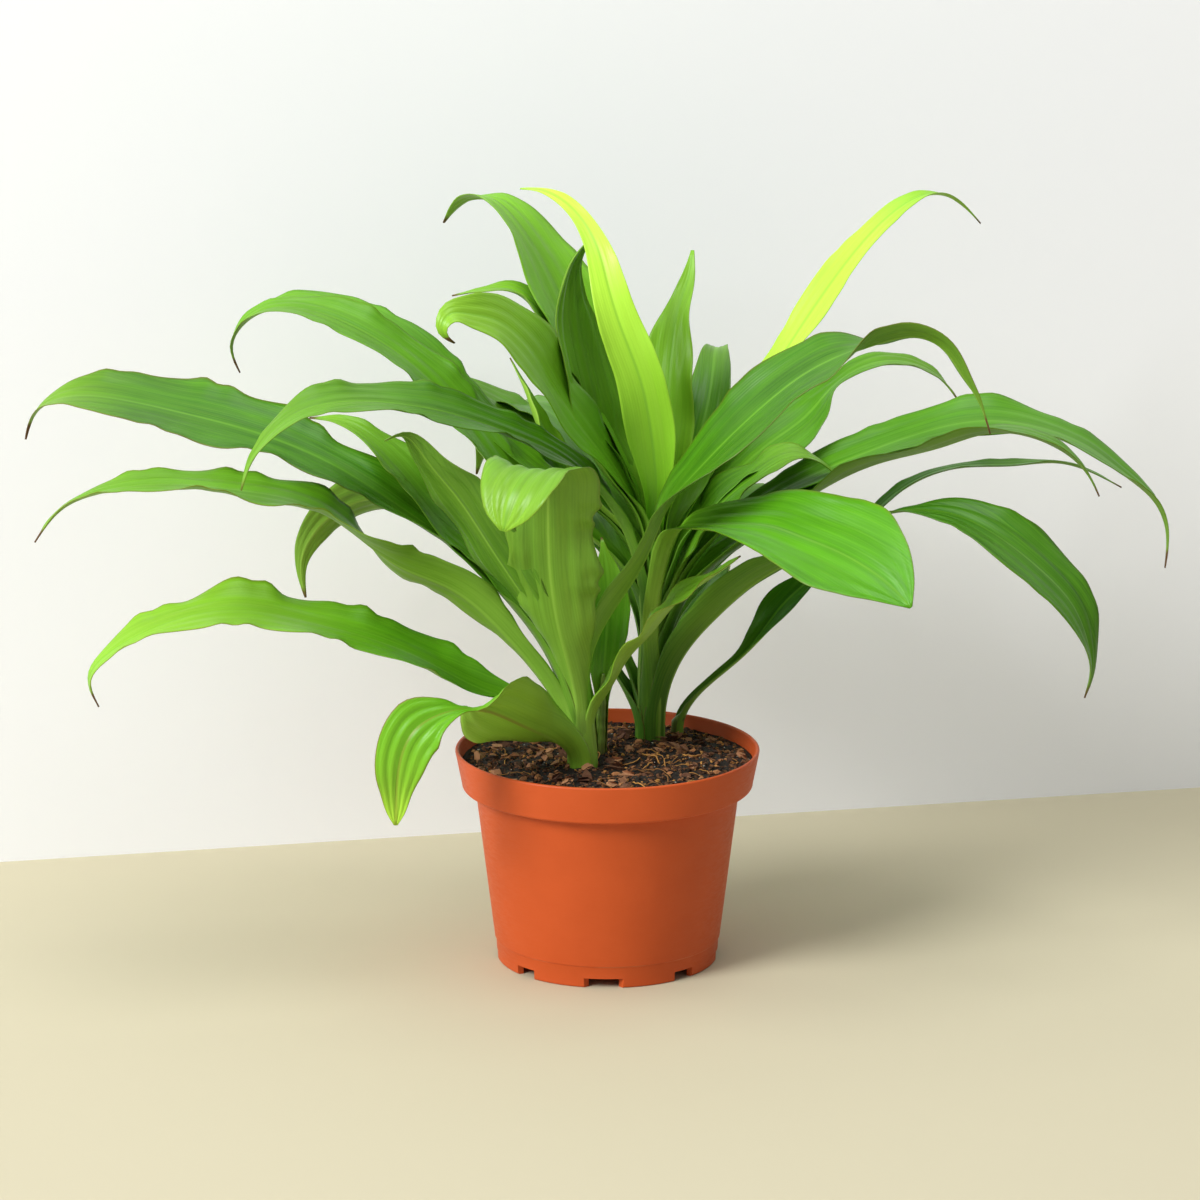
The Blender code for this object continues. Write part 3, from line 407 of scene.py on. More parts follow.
def read_table(table, share):
    """A smooth reading of a table of (share, value) that never overshoots its values."""
    xs, ys = np.array(table, float).T
    slopes = np.diff(ys) / np.diff(xs)
    tangents = np.concatenate([slopes[:1], np.zeros(len(xs) - 2), slopes[-1:]])
    for i in range(1, len(xs) - 1):
        if slopes[i - 1] * slopes[i] > 0:
            tangents[i] = 2 * slopes[i - 1] * slopes[i] / (slopes[i - 1] + slopes[i])
    i = np.clip(np.searchsorted(xs, share, side="right") - 1, 0, len(xs) - 2)
    span = xs[i + 1] - xs[i]
    u = (share - xs[i]) / span
    return ((2 * u ** 3 - 3 * u ** 2 + 1) * ys[i] + (u ** 3 - 2 * u ** 2 + u) * span * tangents[i]
            + (3 * u ** 2 - 2 * u ** 3) * ys[i + 1] + (u ** 3 - u ** 2) * span * tangents[i + 1])


def smooth_step(value, low, high):
    t = np.clip((value - low) / (high - low), 0, 1)
    return t * t * (3 - 2 * t)


def stem_at(shoot, level):
    """The stem's middle (x, y) and its radius at a level."""
    (x, y), radius, low, above = SHOOTS[shoot]
    rows = np.array([(x, y, low, radius), (x, y, STEM_FREE, radius), *above], float)
    return [float(np.interp(level, rows[:, 2], rows[:, i])) for i in (0, 1, 3)]


def sheathed_route(shoot, leaf, order):
    """The leaf's midrib with a first stretch that runs up the stem, its length and its radius."""
    route = np.array(leaf.route, float)
    heading = math.atan2(route[-1, 1] - route[0, 1], route[-1, 0] - route[0, 0])
    inner, outer = SHEATH_RADII[shoot]
    wrap = inner + (outer - inner) * order
    start = route[0, 2]
    rows = []
    for level in np.linspace(SHEATH_FOOT, start, max(2, round((start - SHEATH_FOOT) / 12) + 1)):
        x, y, radius = stem_at(shoot, level)
        rows.append((x + wrap * math.cos(heading), y + wrap * math.sin(heading), level))
    return np.array(rows + [tuple(row) for row in route[1:]]), start - SHEATH_FOOT, wrap


def leaf_surface(leaf, look, shoot, order, phase):
    """The blade's middle surface in mm, with what each of its points needs for its markings."""
    route, sheath, wrap = sheathed_route(shoot, leaf, order)
    length = curve_through(route, 2)[1]
    along = max(24, round(length / ALONG_STEP))
    side = np.linspace(-1, 1, ACROSS + 1)
    spine, length = curve_through(route, along + 1)
    run = np.linspace(0, length, along + 1)
    share = np.clip((run - sheath) / (length - sheath), 0, 1)
    ahead = np.gradient(spine, axis=0)
    ahead /= np.linalg.norm(ahead, axis=1)[:, None]
    heading = math.atan2(leaf.route[-1][1] - leaf.route[0][1], leaf.route[-1][0] - leaf.route[0][0])
    level = np.array([-math.sin(heading), math.cos(heading), 0])
    beside = level - (ahead @ level)[:, None] * ahead
    beside /= np.linalg.norm(beside, axis=1)[:, None]
    above = np.cross(ahead, beside)
    clasp = 1 - smooth_step(run, sheath - 3, sheath + UNWRAP)
    turn = (np.radians(read_table(leaf.turn, share)) * (1 - clasp))[:, None]
    beside, above = (beside * np.cos(turn) + above * np.sin(turn),
                     above * np.cos(turn) - beside * np.sin(turn))
    half = np.maximum(leaf.width * read_table(leaf.share, share), TIP_WIDTH) / 2
    bend = read_table(((0, CLASP), (0.12, CLASP * 0.9), (0.35, leaf.cup), (1, leaf.cup * 0.6)), share)
    half = half * (1 - clasp) + wrap * SHEATH_WRAP * clasp
    bend = bend * (1 - clasp) + SHEATH_WRAP * clasp
    half, bend, run = half[:, None], bend[:, None], run[:, None]
    swell = np.sin(np.pi * np.clip((share - 0.12) / 0.86, 0, 1))[:, None] ** 0.6
    apart = np.where(side > 0, 2.1, 0)
    slow = np.sin(2 * np.pi * run / LONG_WAVE + 3 * phase + 2 * apart)
    quick = np.sin(2 * np.pi * run / SHORT_WAVE + 5 * phase + apart + 1.5 * slow)
    half = half * (1 + look.ruffle * WAVE_WIDTH * swell * np.abs(side) * (slow + SHORT_SHARE * quick))
    out = half * np.sin(bend * side) / bend
    up = half * (1 - np.cos(bend * side)) / bend
    ripple = np.sin(2 * np.pi * leaf.waves * share[:, None] + apart + leaf.width)
    up = up + leaf.wave * swell * np.abs(side) ** 1.6 * ripple
    long_turn = np.sin(2 * np.pi * run / LONG_WAVE + 3 * phase + 2 * apart + 1.2)
    short_turn = np.sin(2 * np.pi * run / SHORT_WAVE + 5 * phase + apart + 1.5 * slow + 1.2)
    up = up + (look.ruffle * WAVE_OUT * swell * np.abs(side) ** 2.5
               * (long_turn + SHORT_SHARE * short_turn))
    distance = half * side
    up = up - GROOVE * np.minimum(1, half / 8) * np.exp(-(distance / 1.6) ** 2)
    pleats = np.cos(2 * np.pi * PLEATS * side + phase) * (1 - np.abs(side) ** 6)
    up = up + look.pleat * smooth_step(share, 0.12, 0.4)[:, None] * np.minimum(1, half / 14) * pleats
    surface = spine[:, None] + out[..., None] * beside[:, None] + up[..., None] * above[:, None]
    return surface, distance, np.broadcast_to(run, distance.shape), share, side


def thickened(surface, distance, side):
    """The upper and lower faces of a blade that is thickest along its midrib."""
    along = np.gradient(surface, axis=0)
    across = np.gradient(surface, axis=1)
    normal = np.cross(along, across)
    normal /= np.linalg.norm(normal, axis=2)[..., None]
    body = (BLADE_EDGE + (BLADE_MIDDLE - BLADE_EDGE) * (1 - side ** 2))[None, :, None] / 2
    reach = np.abs(distance).max(axis=1)[:, None]
    rib = (RIB * np.minimum(1, reach / 9) * np.exp(-(distance / RIB_WIDTH) ** 2))[..., None]
    return surface + normal * body, surface - normal * (body + rib)


def make_mesh(name, corners, faces, materials, face_materials=None, smooth=True):
    mesh = bpy.data.meshes.new(name)
    mesh.from_pydata([tuple(corner) for corner in corners], [], faces)
    for material in materials:
        mesh.materials.append(material)
    if face_materials is not None:
        mesh.polygons.foreach_set("material_index", face_materials)
    mesh.polygons.foreach_set("use_smooth", [smooth] * len(mesh.polygons))
    mesh.update()
    return mesh


def mark_points(mesh, name, values):
    """One number, or three, for each point of the mesh, which its material reads."""
    values = np.asarray(values, np.float32)
    kind, key = ("FLOAT_VECTOR", "vector") if values.ndim == 2 else ("FLOAT", "value")
    layer = mesh.attributes.new(name, kind, "POINT")
    layer.data.foreach_set(key, values.ravel())


def add_piece(name, mesh, slot, *nodes):
    """A piece of the plant that rides with it and stands for the named CAD nodes."""
    piece = bpy.data.objects.new(name, mesh)
    bpy.context.scene.collection.objects.link(piece)
    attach(piece, "root")
    if nodes:
        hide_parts(*nodes)
    return piece


def add_leaf(shoot, number, leaf, order, finishes):
    phase = 0.37 * number + 1.7 * len(shoot)
    look = LOOKS[shoot].get(number, Look())
    surface, distance, run, share, side = leaf_surface(leaf, look, shoot, order, phase)
    upper, lower = thickened(surface, distance, side)
    rows, columns = surface.shape[:2]
    corners = np.concatenate([upper.reshape(-1, 3), lower.reshape(-1, 3)]) * MM
    below = rows * columns
    faces = []
    sides = []
    for i in range(rows - 1):
        for j in range(columns - 1):
            a = i * columns + j
            faces.append((a, a + columns, a + columns + 1, a + 1))
            faces.append((a + below + 1, a + below + columns + 1, a + below + columns, a + below))
            sides += [0, 1]
    border = [(0, j) for j in range(columns)] + [(i, columns - 1) for i in range(1, rows)]
    border += [(rows - 1, j) for j in range(columns - 2, -1, -1)] + [(i, 0) for i in range(rows - 2, 0, -1)]
    ring = [i * columns + j for i, j in border]
    for a, b in zip(ring, ring[1:] + ring[:1]):
        faces.append((a, b, b + below, a + below))
        sides.append(0)
    name = f"{shoot}_leaf_{number}"
    mesh = make_mesh(name, corners, faces, finishes, sides)
    flow = np.stack([distance, run, np.full_like(run, 17.0 * phase)], axis=-1).reshape(-1, 3)
    edge = np.broadcast_to(np.abs(side), distance.shape).ravel()
    place = np.broadcast_to(share[:, None], distance.shape).ravel()
    mark_points(mesh, "flow", np.concatenate([flow, flow]))
    mark_points(mesh, "edge", np.concatenate([edge, edge]))
    foot = BASE_SHADE[shoot] * (1 - smooth_step(place, 0.03, 0.2))
    mark_points(mesh, "lime", np.tile(read_table(look.lime, place) * (1 - foot), 2))
    mark_points(mesh, "dry", np.tile(look.dry * smooth_step(place, 0.95, 1.0), 2))
    seam = SEAM * (1 - smooth_step(place, 0.02, 0.1))
    mark_points(mesh, "margin", np.tile(look.margin * smooth_step(place, 0.2, 0.7) + seam, 2))
    mark_points(mesh, "blush", np.tile(look.blush * smooth_step(place, 0.1, 0.3), 2))
    # Lightness: the leaf's own tone with painted light and shade, less the painted shade at its base
    mark_points(mesh, "light", np.tile(look.light - 0.6 * foot, 2))
    return add_piece(name, mesh, "leaf_green", shoot)


def tube(points, radii, sides):
    """The corners and faces of a round tube with closed ends along a route."""
    route = np.asarray(points, float)
    ahead = np.gradient(route, axis=0)
    ahead /= np.linalg.norm(ahead, axis=1)[:, None]
    start = np.array([1.0, 0.0, 0.0]) if abs(ahead[0, 0]) < 0.8 else np.array([0.0, 1.0, 0.0])
    corners = []
    for place, way, radius in zip(route, ahead, radii):
        first = np.cross(way, start)
        first /= np.linalg.norm(first)
        second = np.cross(way, first)
        start = -second
        for k in range(sides):
            a = 2 * math.pi * k / sides
            corners.append(place + radius * (first * math.cos(a) + second * math.sin(a)))
    faces = []
    for i in range(len(route) - 1):
        for k in range(sides):
            a, b = i * sides + k, i * sides + (k + 1) % sides
            faces.append((a, b, b + sides, a + sides))
    last = (len(route) - 1) * sides
    faces.append(tuple(range(sides))[::-1])
    faces.append(tuple(range(last, last + sides)))
    return corners, faces


def add_stem(shoot, finish):
    """The stem with the faint rings that old leaves left."""
    place, radius, low, above = SHOOTS[shoot]
    top = above[-1][2]
    levels = np.arange(low + 20, top, 1.2)
    points = []
    radii = []
    for level in levels:
        x, y, wide = stem_at(shoot, level)
        points.append((x * MM, y * MM, level * MM))
        radii.append((wide - 0.2 + 0.25 * abs(math.sin(level * math.pi / 6.5)) ** 6) * MM)
    corners, faces = tube(points, radii, 28)
    mesh = make_mesh(f"{shoot}_stem", corners, faces, [finish])
    return add_piece(mesh.name, mesh, "leaf_green", shoot)


def arc(centre_r, centre_z, radius, start, end, steps):
    """Points on an arc of a turned profile, from one angle to another in degrees."""
    angles = [math.radians(start + (end - start) * i / steps) for i in range(steps + 1)]
    return [(centre_r + radius * math.cos(a), centre_z + radius * math.sin(a)) for a in angles]


def pot_profile():
    """The pot's section as (radius, height): floor, inside, lip, collar, wall, foot and underside."""
    inside = [(WALL_FOOT_RADIUS - POT_WALL - 2.4, FLOOR_TOP),
              (WALL_FOOT_RADIUS - POT_WALL - 0.5, FLOOR_TOP + 1.6),
              (WALL_FOOT_RADIUS - POT_WALL + 0.2, FLOOR_TOP + 5.0),
              (WALL_TOP_RADIUS - POT_WALL, COLLAR_FOOT - 1.8),
              (WALL_TOP_RADIUS - POT_WALL + 0.5, COLLAR_FOOT + 0.6),
              (COLLAR_FOOT_RADIUS - POT_WALL - 1.5, COLLAR_FOOT + 1.4),
              (COLLAR_FOOT_RADIUS - POT_WALL, COLLAR_FOOT + 3.0)]
    lip = arc(RIM_RADIUS - 1.0, POT_HEIGHT - 1.0, 1.0, 180, 0, 12)
    collar = arc(COLLAR_FOOT_RADIUS - 1.5, COLLAR_FOOT + 1.5, 1.5, 10, -90, 8)
    fillet = arc(WALL_TOP_RADIUS + 1.6, COLLAR_FOOT - 1.9, 1.6, 90, 180, 8)
    step = arc(WALL_FOOT_RADIUS - 0.5, STEP_LEVEL + 0.4, 0.5, 0, -80, 4)
    foot = arc(FOOT_RADIUS - 1.0, 1.0, 1.0, 0, -90, 6)
    return ([(0, FLOOR_TOP)] + inside + lip + collar + fillet + step
            + [(FOOT_RADIUS + 0.5, STEP_LEVEL - 0.7)] + foot
            + [(FOOT_RADIUS - FOOT_RING, 0), (FOOT_RADIUS - FOOT_RING, FLOOR_UNDER), (0, FLOOR_UNDER)])


def notch_shape(angle, outer, inner):
    """The corners and faces of a wedge through the foot ring, wider at its outer side."""
    low, high = FOOT_RADIUS - FOOT_RING - 2.0, FOOT_RADIUS + 2.0
    c, s = math.cos(math.radians(angle)), math.sin(math.radians(angle))
    corners = []
    for level in (-2.0, NOTCH_HEIGHT):
        for radius, half in ((low, -inner / 2), (high, -outer / 2), (high, outer / 2), (low, inner / 2)):
            corners.append((radius * c - half * s, radius * s + half * c, level))
    return corners, [(3, 2, 1, 0), (4, 5, 6, 7), (0, 1, 5, 4), (1, 2, 6, 5), (2, 3, 7, 6), (3, 0, 4, 7)]


def add_pot(finish):
    """The pot, turned in fine steps, with the notches in its foot ring and the holes in its floor."""
    profile = pot_profile()
    rings = profile[1:-1]
    corners = []
    for radius, level in rings:
        for k in range(POT_TURNS):
            a = 2 * math.pi * k / POT_TURNS
            corners.append((radius * math.cos(a), radius * math.sin(a), level))
    faces = []
    for i in range(len(rings) - 1):
        for k in range(POT_TURNS):
            a, b = i * POT_TURNS + k, i * POT_TURNS + (k + 1) % POT_TURNS
            faces.append((a, a + POT_TURNS, b + POT_TURNS, b))
    last = (len(rings) - 1) * POT_TURNS
    faces.append(tuple(range(POT_TURNS)))
    faces.append(tuple(range(last, last + POT_TURNS))[::-1])
    mesh = make_mesh("pot_moulded", np.array(corners) * MM, faces, [finish])
    piece = add_piece("pot_moulded", mesh, "pot_plastic", "pot")
    shapes = [notch_shape(FIRST_NOTCH + 45 * i, *widths) for i, widths in enumerate(NOTCH_WIDTHS)]
    for i in range(DRAIN_HOLES):
        a = math.radians(30 + i * 360 / DRAIN_HOLES)
        x, y = DRAIN_CIRCLE * math.cos(a), DRAIN_CIRCLE * math.sin(a)
        shapes.append(tube([(x, y, FLOOR_UNDER - 2), (x, y, FLOOR_TOP + 2)], [DRAIN_RADIUS] * 2, 40))
    group = bpy.data.collections.new("pot_cutters")
    bpy.context.scene.collection.children.link(group)
    for shape, walls in shapes:
        cutter = bpy.data.objects.new("cutter", make_mesh("cutter", np.array(shape) * MM, walls, []))
        group.objects.link(cutter)
    cut = piece.modifiers.new("cut", "BOOLEAN")
    cut.operation = "DIFFERENCE"
    cut.solver = "MANIFOLD"
    cut.operand_type = "COLLECTION"
    cut.collection = group
    bpy.context.view_layer.update()
    finished = bpy.data.meshes.new_from_object(piece.evaluated_get(bpy.context.evaluated_depsgraph_get()))
    piece.modifiers.clear()
    piece.data = finished
    finished.name = "pot_moulded"
    finished.set_sharp_from_angle(angle=math.radians(35))
    for cutter in list(group.objects):
        bpy.data.objects.remove(cutter)
    bpy.data.collections.remove(group)
    return piece


def soil_height(x, y):
    """The level of the crumbled soil at (x, y) in mm."""
    share = min(1.0, math.hypot(x, y) / SOIL_REACH)
    lumps = (math.sin(0.31 * x + 1.3) * math.cos(0.27 * y - 0.4)
             + 0.6 * math.sin(0.52 * y + 0.23 * x) + 0.4 * math.cos(0.61 * x - 0.35 * y))
    rough = 0.0
    for size, height in SOIL_GRAIN:
        rough += height * noise.noise(Vector((x / size, y / size, size)))
    return (SOIL_EDGE + SOIL_CROWN * (1 - share ** 2) + 0.6 * lumps * (1 - share ** 6)
            + rough * (1 - 0.7 * share ** 8))


def add_soil(finish):
    """The soil: a crumbled top and a side that follows the pot's inside down to its floor."""
    turns = 240
    radii = list(np.linspace(0, SOIL_REACH, 90)[1:])
    corners = [(0, 0, soil_height(0, 0))]
    for radius in radii:
        for k in range(turns):
            a = 2 * math.pi * k / turns
            x, y = radius * math.cos(a), radius * math.sin(a)
            corners.append((x, y, soil_height(x, y)))
    for radius, level in SOIL_SIDE:
        for k in range(turns):
            a = 2 * math.pi * k / turns
            corners.append((radius * math.cos(a), radius * math.sin(a), level))
    rings = len(radii) + len(SOIL_SIDE)
    faces = [(0, 1 + k, 1 + (k + 1) % turns) for k in range(turns)]
    for i in range(rings - 1):
        for k in range(turns):
            a, b = 1 + i * turns + k, 1 + i * turns + (k + 1) % turns
            faces.append((a, a + turns, b + turns, b))
    faces.append(tuple(range(1 + (rings - 1) * turns, 1 + rings * turns))[::-1])
    mesh = make_mesh("soil_mix", np.array(corners) * MM, faces, [finish])
    return add_piece("soil_mix", mesh, "potting_soil", "soil")


def chip(draw, long, wide, thick):
    """The corners of one angular crumb round the origin, as rings of a broken lozenge."""
    corners = []
    for level, spread in ((-0.5, 0.55), (-0.1, 1.0), (0.45, 0.7)):
        count = 5
        shift = draw.uniform(0, 6)
        for k in range(count):
            a = shift + 2 * math.pi * (k + draw.uniform(-0.25, 0.25)) / count
            reach = spread * draw.uniform(0.75, 1.15) / 2
            corners.append((long * reach * math.cos(a), wide * reach * math.sin(a),
                            thick * (level + draw.uniform(-0.12, 0.12))))
    faces = [(4, 3, 2, 1, 0), (10, 11, 12, 13, 14)]
    for ring in (0, 5):
        for k in range(5):
            a, b = ring + k, ring + (k + 1) % 5
            faces += [(a, b, b + 5), (a, b + 5, a + 5)]
    return np.array(corners), faces


def turned_freely(corners, draw, tilt):
    """The corners turned about a random upright angle and tipped by up to tilt radians."""
    spin, lean, roll = draw.uniform(0, 2 * math.pi), draw.uniform(-tilt, tilt), draw.uniform(-tilt, tilt)
    for axis, angle in ((0, roll), (1, lean), (2, spin)):
        c, s = math.cos(angle), math.sin(angle)
        a, b = [k for k in range(3) if k != axis]
        turned = corners.copy()
        turned[:, a] = c * corners[:, a] - s * corners[:, b]
        turned[:, b] = s * corners[:, a] + c * corners[:, b]
        corners = turned
    return corners


def scatter_place(draw, spare):
    """A place on the soil that keeps off the pot's wall and the stems."""
    while True:
        radius = (SOIL_REACH - spare) * math.sqrt(draw.random())
        a = draw.uniform(0, 2 * math.pi)
        x, y = radius * math.cos(a), radius * math.sin(a)
        if all(math.hypot(x - px, y - py) > wide + 0.5 for (px, py), wide, _, _ in SHOOTS.values()):
            return x, y


def add_crumbs(name, count, sizes, lift, finish, seed):
    """Loose crumbs of one kind, spread over the soil as one piece."""
    draw = random.Random(seed)
    corners = []
    faces = []
    tones = []
    for _ in range(count):
        long = draw.triangular(*sizes)
        shape, walls = chip(draw, long, long * draw.uniform(0.5, 0.85), long * draw.uniform(0.25, 0.5))
        shape = turned_freely(shape, draw, 0.5)
        x, y = scatter_place(draw, long / 2 + 1)
        level = soil_height(x, y) + lift * long
        first = len(corners)
        corners += [(px + x, py + y, pz + level) for px, py, pz in shape]
        faces += [tuple(first + k for k in face) for face in walls]
        tones += [draw.random()] * len(shape)
    mesh = make_mesh(name, np.array(corners) * MM, faces, [finish], smooth=False)
    mark_points(mesh, "tone", tones)
    return add_piece(name, mesh, "potting_soil")


def add_fibres(finish):
    """Thin roots and bark threads that lie on the soil."""
    draw = random.Random(11)
    corners = []
    faces = []
    tones = []
    for _ in range(FIBRES):
        length = draw.triangular(5, 26, 9)
        x, y = scatter_place(draw, 6)
        heading = draw.uniform(0, 2 * math.pi)
        curl = draw.uniform(-0.25, 0.25)
        steps = max(4, round(length / 2))
        points = []
        for k in range(steps + 1):
            arch = 1.2 * math.sin(math.pi * k / steps) + 0.3
            x += length / steps * math.cos(heading)
            y += length / steps * math.sin(heading)
            heading += curl + draw.uniform(-0.3, 0.3)
            if math.hypot(x, y) > SOIL_REACH - 1.5:
                break
            points.append((x, y, soil_height(x, y) + arch))
        if len(points) < 4:
            continue
        thick = draw.uniform(0.15, 0.4)
        shape, walls = tube(points, [thick] * (len(points) - 1) + [thick * 0.4], 4)
        first = len(corners)
        corners += [tuple(corner) for corner in shape]
        faces += [tuple(first + k for k in face) for face in walls]
        tones += [draw.random()] * len(shape)
    mesh = make_mesh("soil_fibres", np.array(corners) * MM, faces, [finish])
    mark_points(mesh, "tone", tones)
    return add_piece("soil_fibres", mesh, "potting_soil")


def add_node(tree, kind, inputs=None, **settings):
    """A shader node with its settings; an input is a value or another node's socket."""
    made = tree.nodes.new(kind)
    for name, value in settings.items():
        setattr(made, name, value)
    for key, value in (inputs or {}).items():
        feed(tree, made.inputs[key], value)
    return made


def feed(tree, socket, value):
    if isinstance(value, bpy.types.NodeSocket):
        tree.links.new(value, socket)
    else:
        socket.default_value = value


def calc(tree, operation, first, second=0.0, clamp=False):
    made = add_node(tree, "ShaderNodeMath", {0: first, 1: second}, operation=operation, use_clamp=clamp)
    return made.outputs[0]


def ramp_value(tree, value, low, high, start=0.0, end=1.0):
    """The value's place between low and high, eased and held at both ends."""
    made = add_node(tree, "ShaderNodeMapRange", {0: value, 1: low, 2: high, 3: start, 4: end},
                    interpolation_type="SMOOTHSTEP")
    return made.outputs[0]


def mix_colours(tree, share, first, second):
    made = add_node(tree, "ShaderNodeMix", {0: share, 6: first, 7: second}, data_type="RGBA")
    return made.outputs[2]


def grain(tree, place, scale, detail=2.0, rough=0.5):
    made = add_node(tree, "ShaderNodeTexNoise", {"Vector": place, "Scale": scale, "Detail": detail,
                                                 "Roughness": rough})
    return made.outputs["Fac"]


def stretched(tree, place, stretch):
    made = add_node(tree, "ShaderNodeVectorMath", {0: place, 1: stretch}, operation="MULTIPLY")
    return made.outputs[0]


def read_mark(tree, name, vector=False):
    made = add_node(tree, "ShaderNodeAttribute", attribute_name=name)
    return made.outputs["Vector" if vector else "Fac"]


def make_group(name, inputs, outputs):
    """A shader node group with named inputs and outputs; returns it with both sets of sockets."""
    group = bpy.data.node_groups.new(name, "ShaderNodeTree")
    for label, kind, value in inputs:
        socket = group.interface.new_socket(label, in_out="INPUT", socket_type=kind)
        socket.default_value = value
    for label, kind in outputs:
        group.interface.new_socket(label, in_out="OUTPUT", socket_type=kind)
    return group, group.nodes.new("NodeGroupInput").outputs, group.nodes.new("NodeGroupOutput").inputs


def new_finish(name, **constants):
    """A material with its Principled shader, whose constants are set on its own sockets."""
    finish = bpy.data.materials.new(name)
    finish.use_nodes = True
    shader = finish.node_tree.nodes["Principled BSDF"]
    for label, value in constants.items():
        shader.inputs[label.replace("_", " ")].default_value = value
    return finish, finish.node_tree, shader


def add_bump(tree, shader, height, strength, distance):
    bump = add_node(tree, "ShaderNodeBump", {"Height": height, "Strength": strength,
                                             "Distance": distance})
    tree.links.new(bump.outputs[0], shader.inputs["Normal"])


def make_blade_markings():
    """Leaf colour: a lightness that carries painted light and shade, streaks along the veins, a pale midrib, a
    lime flush, a thin margin and dry tips.
    """
    colour = "NodeSocketColor"
    number = "NodeSocketFloat"
    group, given, out = make_group(
        "blade_markings",
        (("Dark", colour, (0.05, 0.2, 0.01, 1)), ("Mid", colour, (0.1, 0.35, 0.02, 1)),
         ("Lime", colour, (0.5, 0.8, 0.1, 1)), ("Rib", colour, (0.3, 0.5, 0.1, 1)),
         ("Margin", colour, (0.2, 0.06, 0.02, 1)), ("Dry", colour, (0.1, 0.05, 0.02, 1)),
         ("Rib Share", number, 0.6), ("Gloss", number, 0.4)),
        (("Colour", colour), ("Roughness", number), ("Height", number)))
    flow = read_mark(group, "flow", vector=True)
    apart = add_node(group, "ShaderNodeSeparateXYZ", {0: flow}).outputs
    streaks = grain(group, stretched(group, flow, (1.1, 0.022, 1)), 1.0, 3.0, 0.6)
    threads = grain(group, stretched(group, flow, (3.6, 0.05, 1)), 1.0, 1.0, 0.4)
    clouds = grain(group, stretched(group, flow, (0.05, 0.03, 1)), 1.0, 2.0, 0.5)
    bands = grain(group, stretched(group, flow, (0.28, 0.007, 1)), 1.0, 1.0, 0.5)
    tone = calc(group, "ADD", calc(group, "MULTIPLY", clouds, 0.5), calc(group, "MULTIPLY", streaks, 0.22))
    tone = calc(group, "ADD", tone, calc(group, "MULTIPLY", bands, 0.6))
    # The light mark brings in the leaf's own tone together with painted light and shade
    tone = calc(group, "ADD", calc(group, "SUBTRACT", tone, 0.66), read_mark(group, "light"), clamp=True)
    base = mix_colours(group, tone, given["Dark"], given["Mid"])
    flush = calc(group, "ADD", read_mark(group, "lime"),
                 calc(group, "MULTIPLY", calc(group, "SUBTRACT", streaks, 0.5), 0.2), clamp=True)
    base = mix_colours(group, flush, base, given["Lime"])
    veins = calc(group, "SINE", calc(group, "ADD", calc(group, "MULTIPLY", apart[0], 4.6),
                                     calc(group, "MULTIPLY", threads, 1.2)))
    veins = calc(group, "ADD", calc(group, "MULTIPLY", veins, 0.5), 0.5)
    base = mix_colours(group, calc(group, "MULTIPLY", veins, 0.05), base, given["Rib"])
    rib = ramp_value(group, calc(group, "ABSOLUTE", apart[0]), 0.35, 1.1, 1.0, 0.0)
    rib_colour = mix_colours(group, read_mark(group, "blush"), given["Rib"], given["Margin"])
    base = mix_colours(group, calc(group, "MULTIPLY", rib, given["Rib Share"]), base, rib_colour)
    rim = ramp_value(group, read_mark(group, "edge"), 0.95, 1.0)
    base = mix_colours(group, calc(group, "MULTIPLY", rim, read_mark(group, "margin")), base,
                       given["Margin"])
    brown = ramp_value(group, calc(group, "ADD", read_mark(group, "dry"),
                                   calc(group, "MULTIPLY", streaks, 0.3)), 0.45, 0.75)
    base = mix_colours(group, brown, base, given["Dry"])
    group.links.new(base, out["Colour"])
    sheen = calc(group, "ADD", given["Gloss"], calc(group, "MULTIPLY", streaks, 0.14))
    group.links.new(calc(group, "ADD", sheen, calc(group, "MULTIPLY", brown, 0.3)), out["Roughness"])
    height = calc(group, "ADD", calc(group, "MULTIPLY", veins, 0.25), calc(group, "MULTIPLY", streaks, 0.4))
    group.links.new(height, out["Height"])
    return group


def make_leaf_finish(name, markings, colours, rib_share, gloss, **constants):
    finish, tree, shader = new_finish(name, **constants)
    marks = add_node(tree, "ShaderNodeGroup")
    marks.node_tree = markings
    for label, value in colours.items():
        marks.inputs[label].default_value = (*value, 1)
    marks.inputs["Rib Share"].default_value = rib_share
    marks.inputs["Gloss"].default_value = gloss
    tree.links.new(marks.outputs["Colour"], shader.inputs["Base Color"])
    tree.links.new(marks.outputs["Roughness"], shader.inputs["Roughness"])
    add_bump(tree, shader, marks.outputs["Height"], 0.5, 0.0002)
    return finish


def make_stem_finish():
    finish, tree, shader = new_finish("stem_green", Roughness=0.45)
    place = add_node(tree, "ShaderNodeTexCoord").outputs["Object"]
    streaks = grain(tree, stretched(tree, place, (900, 900, 60)), 1.0, 3.0)
    colour = mix_colours(tree, ramp_value(tree, streaks, 0.35, 0.7), (0.10, 0.19, 0.015, 1),
                         (0.22, 0.36, 0.04, 1))
    level = add_node(tree, "ShaderNodeSeparateXYZ", {0: place}).outputs[2]
    foot = ramp_value(tree, level, 0.106, 0.118, 1.0, 0.0)
    colour = mix_colours(tree, calc(tree, "MULTIPLY", foot, 0.7), colour, (0.09, 0.06, 0.02, 1))
    tree.links.new(colour, shader.inputs["Base Color"])
    add_bump(tree, shader, streaks, 0.4, 0.0004)
    return finish


